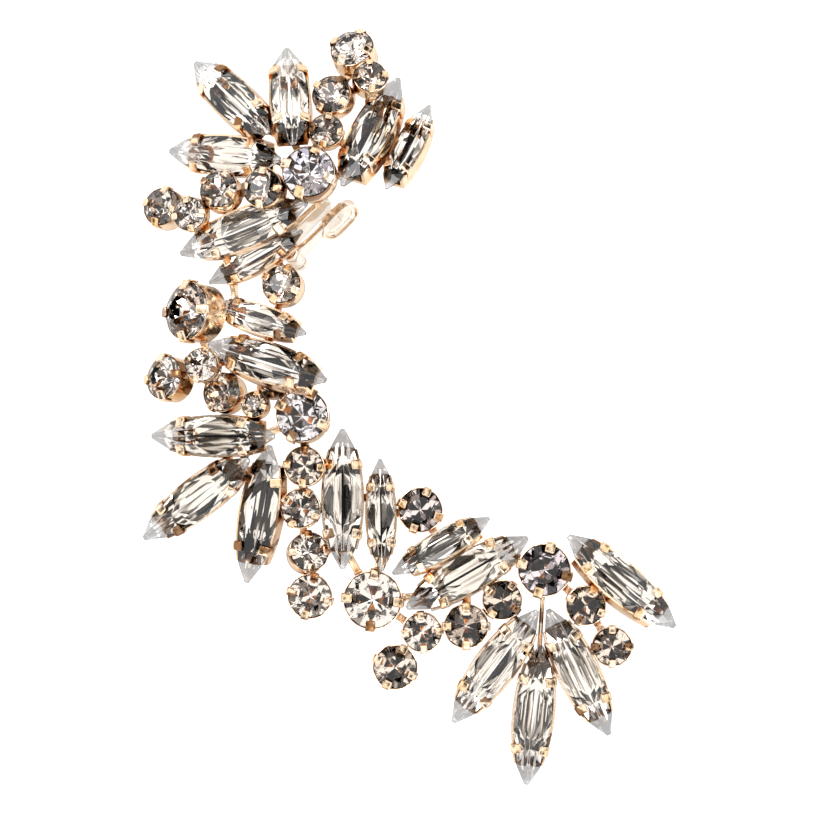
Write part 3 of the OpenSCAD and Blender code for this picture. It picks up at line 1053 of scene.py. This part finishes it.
# %% [markdown]
# An ear is a round eye with a foot. It starts as a short cylinder across the plate, and the lower
# half of its rim is flattened down to a line in the plate, which gives the foot straight sides.
# Plate and ears are soldered, so they are joined and set in place as one piece.

# %% Add the ears to the plate
NECK_W = 1.8
EAR_T = 0.6
EAR_PLAY = 0.08
EAR_SINK = 0.2
ACROSS = (math.pi / 2, 0, 0)


def shape_ear(y):
    """One ear: a round eye whose lower half is drawn down to the plate."""
    bpy.ops.mesh.primitive_cylinder_add(
        vertices=32, radius=KNUCKLE_D / 2, depth=EAR_T, location=(0, y, 0), rotation=ACROSS
    )
    ear = started()
    edit()
    pick(lambda co, n: co.z < -NEAR, "VERT")
    foot = (0, y, PLATE_Z + EAR_SINK)
    bpy.ops.transform.resize(value=(1, 1, 0), center_override=foot)
    edit(False)
    bevel(ear, width=0.08)
    return ear


ear_y = (NECK_W + EAR_T) / 2 + EAR_PLAY
base = joined([plate, shape_ear(ear_y), shape_ear(-ear_y)], "clip_base")
smooth(base)
base.data.transform(clip_seat)
print("base plate faces", len(base.data.polygons))

# %% [markdown]
# Each post runs from the plate to the underside of a setting, like the other bars, but keeps its
# full width. The ends of the posts on the plate are found by turning points of the flat clip into
# place.

# %% Set the posts and join the bars
# setting, from its middle, along the plate
POSTS = [
    ("round_05", 0, 5.5),
    ("navette_04", 4, 2.0),
]
for name, from_middle, along_plate in POSTS:
    stone = stones[name]
    on_plate = clip_seat @ Vector((along_plate, 0, PLATE_Z + BASE_T / 2)) / MM
    start, end = nearest_pair([on_plate], floor_places(stone, from_middle))
    way = (end - start).normalized()
    bars.append(set_bar(start, end, 0, leave(stone, end, -way), (end - start).length))
links = joined(bars, "links")
drop(bar)
print("faces of all the bars", len(links.data.polygons))

# %% [markdown]
# The leaf is one pressing: a knuckle round the pin, a narrow neck and a long dished pad. The neck
# is extruded in steps from a block that starts in the knuckle's wall, clear of the pin. It is
# waisted first and then widened towards the pad. The table gives each step's length and how much
# wider its far end is than the last one.

# %% Shape the leaf's neck
LEAF_T = 0.7
NECK_FROM = 0.6
NECK_BLOCK = 0.4
# length, width
NECK_STEPS = [
    (1.6, 0.74),
    (1.6, 0.92),
    (1.0, 1.25),
    (1.2, 1.25),
]


def shape_neck():
    """The strip between the knuckle and the pad."""
    bpy.ops.mesh.primitive_cube_add(size=1, location=(NECK_FROM + NECK_BLOCK / 2, 0, 0))
    neck = started()
    edit()
    bpy.ops.transform.resize(value=(NECK_BLOCK, NECK_W, LEAF_T))
    pick(lambda c, n: n.x > FACING)
    for length, wide in NECK_STEPS:
        extrude(x=length)
        bpy.ops.transform.resize(value=(1, wide, 1))
    edit(False)
    bevel(neck, width=0.16, segments=3)
    return neck


neck = shape_neck()
print("neck faces", len(neck.data.polygons))

# %% [markdown]
# The pad is a disc whose halves are drawn apart, which gives it straight sides and round ends. It
# is inset and pressed down twice from above, first to leave the rolled rim and then for the dish,
# and once from below, where the back of the pressing is a little hollow. One of its sides is in
# line with a side of the neck.

# %% Shape the leaf's pad
LEAF_L = 8.7
PAD_L = 5.0
PAD_W = 3.4
RIM_H = 0.15
RIM_W = 0.34
RIM_DEEP = 0.34
DISH_IN = 0.5
DISH_DEEP = 0.1
BACK_IN = 0.3
BACK_DEEP = 0.12


def shape_pad():
    """The long pad, dished above, with round ends and a rolled rim."""
    x = LEAF_L - PAD_L / 2
    y = (NECK_W - PAD_W) / 2
    bpy.ops.mesh.primitive_cylinder_add(
        vertices=48, radius=PAD_W / 2, depth=LEAF_T + 2 * RIM_H, location=(x, y, 0)
    )
    pad = started()
    edit()
    for side in (-1, 1):
        pick(lambda co, n: side * (co.x - x) > NEAR, "VERT")
        bpy.ops.transform.translate(value=(side * (PAD_L - PAD_W) / 2, 0, 0))
    pick(lambda c, n: n.z > FACING)
    bpy.ops.mesh.inset(thickness=RIM_W)
    extrude(z=-RIM_DEEP)
    bpy.ops.mesh.inset(thickness=DISH_IN)
    extrude(z=-DISH_DEEP)
    pick(lambda c, n: n.z < -FACING)
    bpy.ops.mesh.inset(thickness=BACK_IN)
    extrude(z=BACK_DEEP)
    edit(False)
    bevel(pad, width=0.12, segments=3)
    return pad


pad = shape_pad()
print("pad faces", len(pad.data.polygons))

# %% [markdown]
# The knuckle is a short tube. Both ends of a cylinder are inset by the thickness of its wall, and
# the two inner faces are bridged, which makes the hole for the pin. The three parts of the leaf
# are one pressing, so they are joined and set in place together.

# %% Shape the knuckle and join the leaf
PIN_D = 0.88


def shape_knuckle():
    """The eye of the leaf, a tube round the pin."""
    bpy.ops.mesh.primitive_cylinder_add(
        vertices=32, radius=KNUCKLE_D / 2, depth=NECK_W, rotation=ACROSS
    )
    knuckle = started()
    edit()
    pick(lambda c, n: abs(n.y) > FACING)
    bpy.ops.mesh.inset(thickness=(KNUCKLE_D - PIN_D) / 2)
    bpy.ops.mesh.bridge_edge_loops()
    edit(False)
    bevel(knuckle, width=0.06)
    return knuckle


leaf = joined([neck, pad, shape_knuckle()], "leaf")
smooth(leaf)
leaf.data.transform(clip_seat)
print("leaf faces", len(leaf.data.polygons))

# %% [markdown]
# Every finish is built from nodes, and a few helpers keep that short. They set a node's values by
# name, wire sockets together and start a node group with its own inputs and outputs. The Mix node
# has a socket of each kind under one name, so its sockets for colours are told by number.

# %% Helpers for materials
MIX_SHARE = 0
MIX_FIRST = 6
MIX_SECOND = 7
MIX_RESULT = 2
COLOURS = ("Colour", "Tint", "Light", "Deep")


def give(node, values):
    """Sets a node's inputs by name, with _ for a space, and its own properties."""
    for key, value in values.items():
        socket = key.replace("_", " ")
        if socket in node.inputs:
            node.inputs[socket].default_value = value
        else:
            setattr(node, key, value)
    return node


def add(nodes, kind, **values):
    """Adds a node with its values."""
    return give(nodes.new(kind), values)


def calculate(nodes, operation, *numbers):
    """A Math node whose inputs after the first one get these numbers."""
    node = add(nodes, "ShaderNodeMath", operation=operation)
    for socket, number in zip(node.inputs[1:], numbers):
        socket.default_value = number
    return node


def ramp(nodes, stops):
    """A colour ramp from a list of positions and colours."""
    node = nodes.new("ShaderNodeValToRGB")
    marks = node.color_ramp.elements
    while len(marks) < len(stops):
        marks.new(0.5)
    for mark, (place, colour) in zip(marks, stops):
        mark.position = place
        mark.color = (*colour, 1)
    return node


def wire(tree, *wires):
    """Joins sockets. A wire is a node, its output, the next node and that one's input."""
    for node, output, next_node, socket in wires:
        tree.links.new(node.outputs[output], next_node.inputs[socket])


def node_group(name, inputs, outputs):
    """A new shader node group with its sockets, and the nodes that bring them in and out."""
    group = bpy.data.node_groups.new(name, "ShaderNodeTree")
    for way, sockets in (("INPUT", inputs), ("OUTPUT", outputs)):
        for socket in sockets:
            kind = "Color" if socket in COLOURS else "Float"
            group.interface.new_socket(socket, in_out=way, socket_type="NodeSocket" + kind)
    return group, group.nodes.new("NodeGroupInput"), group.nodes.new("NodeGroupOutput")


def principled(material, **values):
    """The main shader of a material, with values set on its own sockets."""
    material.use_nodes = True
    return give(material.node_tree.nodes["Principled BSDF"], values)


# %% [markdown]
# The plating is a thin coat of rose gold over brass. A node group makes its colour: it goes from a
# light to a deep tone in soft clouds, has painted dark reflections of dark bronze in a few small
# spots, and has painted shade, a deep brown, in the recesses, which an Ambient Occlusion node
# finds.

# %% Mix the plating's colour
# Colours for the painted dark reflections and for the painted shade in the recesses.
DARK_REFLECTION_BRONZE = (0.22, 0.13, 0.07, 1)
SHADE_IN_A_RECESS = (0.5, 0.27, 0.11)
UNSHADED = (1.0, 1.0, 1.0)


def plating_colour_group():
    """Colour of the plating between a light and a deep tone, with painted dark reflections in
    small spots and painted shade in its recesses.
    """
    group, given, out = node_group("plating colour", ("Light", "Deep", "Dark Reflections"), ("Colour",))
    nodes = group.nodes
    place = add(nodes, "ShaderNodeTexCoord")
    clouds = add(nodes, "ShaderNodeTexNoise", Scale=420, Detail=3, Roughness=0.6)
    cloudy = add(nodes, "ShaderNodeMapRange", From_Min=0.3, From_Max=0.7)
    tint = add(nodes, "ShaderNodeMix", data_type="RGBA")
    wire(
        group,
        (place, "Object", clouds, "Vector"),
        (clouds, "Fac", cloudy, "Value"),
        (cloudy, "Result", tint, MIX_SHARE),
        (given, "Deep", tint, MIX_FIRST),
        (given, "Light", tint, MIX_SECOND),
    )
    # Painted dark reflections: small spots from a noise are multiplied by dark bronze.
    spots = add(nodes, "ShaderNodeTexNoise", Scale=380, Detail=1, Roughness=0.4)
    spotty = add(nodes, "ShaderNodeMapRange", From_Min=0.58, From_Max=0.61)
    amount = calculate(nodes, "MULTIPLY")
    dark_spots = add(nodes, "ShaderNodeMix", data_type="RGBA", blend_type="MULTIPLY")
    dark_spots.inputs[MIX_SECOND].default_value = DARK_REFLECTION_BRONZE
    wire(
        group,
        (place, "Object", spots, "Vector"),
        (spots, "Fac", spotty, "Value"),
        (spotty, "Result", amount, 0),
        (given, "Dark Reflections", amount, 1),
        (amount, "Value", dark_spots, MIX_SHARE),
        (tint, MIX_RESULT, dark_spots, MIX_FIRST),
    )
    # Painted shade: the Ambient Occlusion node darkens the colour to deep brown in the recesses.
    recess = add(nodes, "ShaderNodeAmbientOcclusion", Distance=1.2 * MM, samples=6)
    depth = ramp(nodes, [(0.25, SHADE_IN_A_RECESS), (0.7, UNSHADED)])
    painted_shade = add(nodes, "ShaderNodeMix", data_type="RGBA", blend_type="MULTIPLY", Factor=1.0)
    wire(
        group,
        (recess, "AO", depth, "Fac"),
        (dark_spots, MIX_RESULT, painted_shade, MIX_FIRST),
        (depth, "Color", painted_shade, MIX_SECOND),
        (painted_shade, MIX_RESULT, out, "Colour"),
    )
    return group


plating_colour = plating_colour_group()
print("nodes of the plating's colour", len(plating_colour.nodes))

# %% [markdown]
# The plated surface is polished, but not evenly. A second group gives it fine scratches, which
# are a noise stretched along a slanted line, and the grain of the pressed sheet. The scratches
# change the gloss, and both together are the height of a very low bump.

# %% Scratch the plating
def plating_wear_group():
    """Roughness and height of scratched sheet."""
    group, _, out = node_group("plating wear", (), ("Roughness", "Height"))
    nodes = group.nodes
    place = add(nodes, "ShaderNodeTexCoord")
    grain = add(nodes, "ShaderNodeTexNoise", Scale=5200, Detail=2, Roughness=0.5)
    stretch = add(nodes, "ShaderNodeMapping", Rotation=(0.3, 0.5, 0.8), Scale=(1, 14, 1))
    scratches = add(nodes, "ShaderNodeTexNoise", Scale=900, Detail=2, Roughness=0.6)
    gloss = add(nodes, "ShaderNodeMapRange", To_Min=0.06, To_Max=0.22)
    height = calculate(nodes, "ADD")
    wire(
        group,
        (place, "Object", grain, "Vector"),
        (place, "Object", stretch, "Vector"),
        (stretch, "Vector", scratches, "Vector"),
        (scratches, "Fac", gloss, "Value"),
        (gloss, "Result", out, "Roughness"),
        (grain, "Fac", height, 0),
        (scratches, "Fac", height, 1),
        (height, "Value", out, "Height"),
    )
    return group


plating_wear = plating_wear_group()
print("nodes of the plating's wear", len(plating_wear.nodes))

# %% [markdown]
# The clip is painted paler than the settings, as a painted highlight on its broad faces, and has
# fewer painted dark spots. The groups are therefore placed in two materials, each with its own two
# tones and its own amount of painted dark reflections.

# %% Plate the settings and the clip
def plate_over(material, light, deep, dark_reflections):
    """Plates a material: the groups' maps drive the metal's colour, gloss and bump."""
    shader = principled(material, Metallic=1.0, Specular_Tint=(1, 0.95, 0.9, 1))
    nodes = material.node_tree.nodes
    colour = add(nodes, "ShaderNodeGroup", node_tree=plating_colour)
    give(colour, {"Light": (*light, 1), "Deep": (*deep, 1), "Dark Reflections": dark_reflections})
    wear = add(nodes, "ShaderNodeGroup", node_tree=plating_wear)
    bump = add(nodes, "ShaderNodeBump", Strength=0.25, Distance=0.03 * MM)
    wire(
        material.node_tree,
        (colour, "Colour", shader, "Base Color"),
        (wear, "Roughness", shader, "Roughness"),
        (wear, "Height", bump, "Height"),
        (bump, "Normal", shader, "Normal"),
    )


# The clip's plating is painted paler, a painted highlight, and has fewer painted dark reflections.
highlit_gold = bpy.data.materials.new("highlit_gold")
plate_over(gold, light=(1.0, 0.86, 0.70), deep=(0.94, 0.60, 0.30), dark_reflections=0.9)
plate_over(highlit_gold, light=(1.0, 0.96, 0.90), deep=(0.98, 0.86, 0.72), dark_reflections=0.2)
print("plated materials", gold.name, highlit_gold.name)

# %% [markdown]
# The stones are leaded glass, so clear that only the faintest smear of handling shows on it.
# Metallic and Transmission Weight stay plain values, and only the roughness comes from a group.

# %% Make the glass
def smear_group():
    """Roughness of the glass with the faint smears of handling."""
    group, _, out = node_group("smears", (), ("Roughness",))
    nodes = group.nodes
    place = add(nodes, "ShaderNodeTexCoord")
    clouds = add(nodes, "ShaderNodeTexNoise", Scale=260, Detail=4, Roughness=0.6)
    amount = add(nodes, "ShaderNodeMapRange", From_Min=0.45, To_Max=0.035)
    wire(
        group,
        (place, "Object", clouds, "Vector"),
        (clouds, "Fac", amount, "Value"),
        (amount, "Result", out, "Roughness"),
    )
    return group


shader = principled(
    glass, Base_Color=(0.985, 0.98, 0.985, 1), IOR=1.55, Transmission_Weight=1.0
)
smears = add(glass.node_tree.nodes, "ShaderNodeGroup", node_tree=smear_group())
wire(glass.node_tree, (smears, "Roughness", shader, "Roughness"))
print("glass made")

# %% [markdown]
# The foil is a mirror of silver. Where the real stone splits light into its many small flashes,
# each facet here has a painted tone of its own, which paints the flashes and the dark reflections:
# a facet whose tone is under Bright Until is bright, one over Dark From is nearly black, and a
# darker facet is also a warmer one. On a navette the tone changes in streaks from tip to tip as
# well, which are painted streaks of light. At the tips, where the edge has foil too, a narrow rim
# is painted darker, a painted shade which outlines them. One node group makes all of this from a
# few named values.

# %% Make the foil's tones
RIM_LOW = -0.3
RIM_HIGH = -0.16
BRIGHTEST = 0.97
TONE_JUMP = 40
WARMEST = 4


def foil_group():
    """The foil's painted tone on each facet, from bright flashes to dark reflections, with painted
    streaks of light along a long stone.
    """
    inputs = ("Tint", "Bright Until", "Dark From", "Darkest", "Streaks", "Rim")
    group, given, out = node_group("foil tone", inputs, ("Colour",))
    nodes = group.nodes
    facet = add(nodes, "ShaderNodeAttribute", attribute_name="tone")
    place = add(nodes, "ShaderNodeAttribute", attribute_name="place")
    stretch = add(nodes, "ShaderNodeMapping", Scale=(0.1, 1.1, 0.3))
    jump = calculate(nodes, "MULTIPLY", TONE_JUMP)
    # Painted streaks of light along a navette.
    streaks = add(
        nodes, "ShaderNodeTexNoise", noise_dimensions="4D", Scale=1, Detail=2, Roughness=0.6
    )
    spread = calculate(nodes, "MULTIPLY_ADD")
    wrap = calculate(nodes, "FRACT")
    level = add(nodes, "ShaderNodeMapRange", To_Min=BRIGHTEST)
    wire(
        group,
        (place, "Vector", stretch, "Vector"),
        (stretch, "Vector", streaks, "Vector"),
        (facet, "Fac", jump, 0),
        (jump, "Value", streaks, "W"),
        (streaks, "Fac", spread, 0),
        (given, "Streaks", spread, 1),
        (facet, "Fac", spread, 2),
        (spread, "Value", wrap, 0),
        (wrap, "Value", level, "Value"),
        (given, "Bright Until", level, "From Min"),
        (given, "Dark From", level, "From Max"),
        (given, "Darkest", level, "To Max"),
    )
    depth = add(nodes, "ShaderNodeSeparateXYZ")
    # Painted shade: near the edge of the tips the foil is painted darker.
    rim = add(nodes, "ShaderNodeMapRange", From_Min=RIM_HIGH, From_Max=RIM_LOW)
    edged = calculate(nodes, "MULTIPLY")
    power = calculate(nodes, "MULTIPLY_ADD", 1 - WARMEST, WARMEST)
    tint = add(nodes, "ShaderNodeGamma")
    shade = add(nodes, "ShaderNodeVectorMath", operation="SCALE")
    wire(
        group,
        (place, "Vector", depth, "Vector"),
        (depth, "Z", rim, "Value"),
        (given, "Rim", rim, "To Min"),
        (level, "Result", edged, 0),
        (rim, "Result", edged, 1),
        (level, "Result", power, 0),
        (given, "Tint", tint, "Color"),
        (power, "Value", tint, "Gamma"),
        (tint, "Color", shade, 0),
        (edged, "Value", shade, "Scale"),
        (shade, "Vector", out, "Colour"),
    )
    return group


foil_tone = foil_group()
print("nodes of the foil", len(foil_tone.nodes))

# %% [markdown]
# The table holds every foil, and with it how bright each stone is painted. The first eight are
# for round stones, which have no painted streaks. The tips' foil lets some light through, which
# makes the bare tips as light as in the photograph.

# %% Set the foils
# Each row paints a stone's brightness: its flashes, dark reflections, streaks and dark rim.
# name, tint, bright until, dark from, darkest, streaks, rim, alpha
FOILS = [
    ("clear_foil", (0.98, 0.93, 0.885), 0.84, 0.96, 0.10, 0, 1, 1),
    ("bright_foil", (0.98, 0.925, 0.875), 0.72, 0.88, 0.06, 0, 1, 1),
    ("warm_foil", (0.975, 0.90, 0.83), 0.58, 0.78, 0.05, 0, 1, 1),
    ("dull_foil", (0.97, 0.875, 0.79), 0.48, 0.66, 0.04, 0, 1, 1),
    ("cool_foil", (0.97, 0.935, 0.93), 0.66, 0.82, 0.06, 0, 1, 1),
    ("dusky_foil", (0.96, 0.91, 0.91), 0.48, 0.68, 0.04, 0, 1, 1),
    ("shaded_foil", (0.96, 0.90, 0.88), 0.36, 0.58, 0.04, 0, 1, 1),
    ("violet_foil", (0.93, 0.92, 1.0), 0.56, 0.84, 0.08, 0, 1, 1),
    ("navette_foil", (0.98, 0.94, 0.89), 0.66, 0.86, 0.06, 2.2, 1, 1),
    ("pale_foil", (0.98, 0.94, 0.89), 0.86, 1.0, 0.24, 2.2, 1, 1),
    ("soft_foil", (0.98, 0.94, 0.89), 0.74, 0.96, 0.14, 2.2, 1, 1),
    ("dim_foil", (0.97, 0.93, 0.88), 0.46, 0.72, 0.05, 2.2, 1, 1),
    ("deep_foil", (0.97, 0.93, 0.88), 0.34, 0.60, 0.04, 2.2, 1, 1),
    ("tip_foil", (0.98, 0.97, 0.95), 0.60, 0.70, 0.04, 0.6, 0.05, 0.70),
]
for name, tint, bright, dark, darkest, streaks, rim, alpha in FOILS:
    shader = principled(foils[name], Metallic=1.0, Roughness=0.03, Alpha=alpha)
    tree = foils[name].node_tree
    tone = add(
        tree.nodes,
        "ShaderNodeGroup",
        node_tree=foil_tone,
        Tint=(*tint, 1),
        Bright_Until=bright,
        Dark_From=dark,
        Darkest=darkest,
        Streaks=streaks,
        Rim=rim,
    )
    wire(tree, (tone, "Colour", shader, "Base Color"))
print("foils set", len(FOILS))

# %% [markdown]
# The photograph is lit by large soft boxes with black cards between them: a cut stone needs
# both, because each facet mirrors one spot of its surroundings and the jewel sparkles only where
# bright and dark spots lie side by side. The world is therefore a white tent with dark gaps, of
# which there are fewer overhead than low down.

# %% Pitch a light tent
TENT_LIGHT = 1.3
# place on the ramp, colour
CARDS = [
    (0.43, (0.01, 0.01, 0.012)),
    (0.46, (0.3, 0.3, 0.3)),
    (0.48, (1.0, 1.0, 1.0)),
]


def light_tent():
    """A white tent with dark gaps, whose pattern is set by direction."""
    world = bpy.data.worlds.new("light tent")
    bpy.context.scene.world = world
    world.use_nodes = True
    nodes = world.node_tree.nodes
    background = give(nodes["Background"], {"Strength": TENT_LIGHT})
    way = add(nodes, "ShaderNodeTexCoord")
    panels = add(nodes, "ShaderNodeTexNoise", Scale=2.6, Detail=1.5, Roughness=0.5)
    height = add(nodes, "ShaderNodeSeparateXYZ")
    rise = add(
        nodes, "ShaderNodeMapRange", From_Min=-0.2, From_Max=0.8, To_Min=-0.06, To_Max=0.03
    )
    both = calculate(nodes, "ADD")
    cards = ramp(nodes, CARDS)
    wire(
        world.node_tree,
        (way, "Generated", panels, "Vector"),
        (way, "Generated", height, "Vector"),
        (height, "Z", rise, "Value"),
        (panels, "Fac", both, 0),
        (rise, "Result", both, 1),
        (both, "Value", cards, "Fac"),
        (cards, "Color", background, "Color"),
    )
    return world


print("world", light_tent().name)

# %% [markdown]
# Three square lamps stand round the earring and give the metal its soft highlights: the main one
# at the upper left, a second at the upper right and the weakest below.

# %% Set the soft boxes
# x, y, z, size, power
SOFT_BOXES = [
    (-0.5, 0.45, 0.7, 0.35, 2),
    (0.55, 0.3, 0.8, 0.3, 1.4),
    (0.1, -0.7, 0.6, 0.3, 1.2),
]
for x, y, z, size, power in SOFT_BOXES:
    bpy.ops.object.light_add(type="AREA", location=(x, y, z))
    lamp = bpy.context.object
    lamp.data.size = size
    lamp.data.energy = power
    lamp.rotation_euler = (-Vector((x, y, z))).to_track_quat("-Z", "Y").to_euler()
print("soft boxes", len(SOFT_BOXES))

# %% [markdown]
# The earring lies on white paper that is lit until it has no shadow left. The paper glows with
# full strength for the camera, and more weakly where it is mirrored in the metal or seen through
# a stone, which would otherwise wash out. The Light Path node tells these rays apart.

# %% Lay the paper
PAPER_SIZE = 3
GLOW_THROUGH = 0.7
GLOW_MIRRORED = 0.35

bpy.ops.mesh.primitive_plane_add(size=PAPER_SIZE)
floor = bpy.context.object
floor.name = "floor"
paper = bpy.data.materials.new("paper")
shader = principled(
    paper, Base_Color=(0.7, 0.7, 0.7, 1), Roughness=0.9, Emission_Color=(1, 1, 1, 1)
)
tree = paper.node_tree
ray = add(tree.nodes, "ShaderNodeLightPath")
through = calculate(tree.nodes, "MULTIPLY_ADD", GLOW_THROUGH)
mirrored = calculate(tree.nodes, "MULTIPLY_ADD", GLOW_MIRRORED)
wire(
    tree,
    (ray, "Is Transmission Ray", through, 0),
    (ray, "Is Glossy Ray", mirrored, 0),
    (ray, "Is Camera Ray", mirrored, 2),
    (mirrored, "Value", through, 2),
    (through, "Value", shader, "Emission Strength"),
)
floor.data.materials.append(paper)
bpy.context.scene.view_settings.view_transform = "Standard"
print("paper laid")

# %% [markdown]
# Every new piece is told which moving body it belongs to and which finish it has. The solids that
# it replaces stay hidden and are used for collisions only. The plain solids that it replaces stay
# hidden.
# The pin is plain enough to stay as it is, and only gets the clip's finish.

# %% Hand the pieces over to the frame
for name, gem in gems.items():
    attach(gem, "earring")
    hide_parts(name)
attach(small_gems, "earring")
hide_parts("small_round_stones")
# piece, solid, body, finish
METAL_PIECES = [
    (round_settings, "frame", "earring", gold),
    (navette_settings, "frame", "earring", gold),
    (links, "frame", "earring", gold),
    (base, "frame", "earring", highlit_gold),
    (leaf, "clip_paddle", "clip_leaf", highlit_gold),
]
for piece, node, body, finish in METAL_PIECES:
    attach(piece, body)
    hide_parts(node)
    piece.data.materials.clear()
    piece.data.materials.append(finish)
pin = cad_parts["clip_pin"]
for slot in pin.material_slots:
    slot.material = highlit_gold
print("pieces handed over", len(gems) + 1 + len(METAL_PIECES))
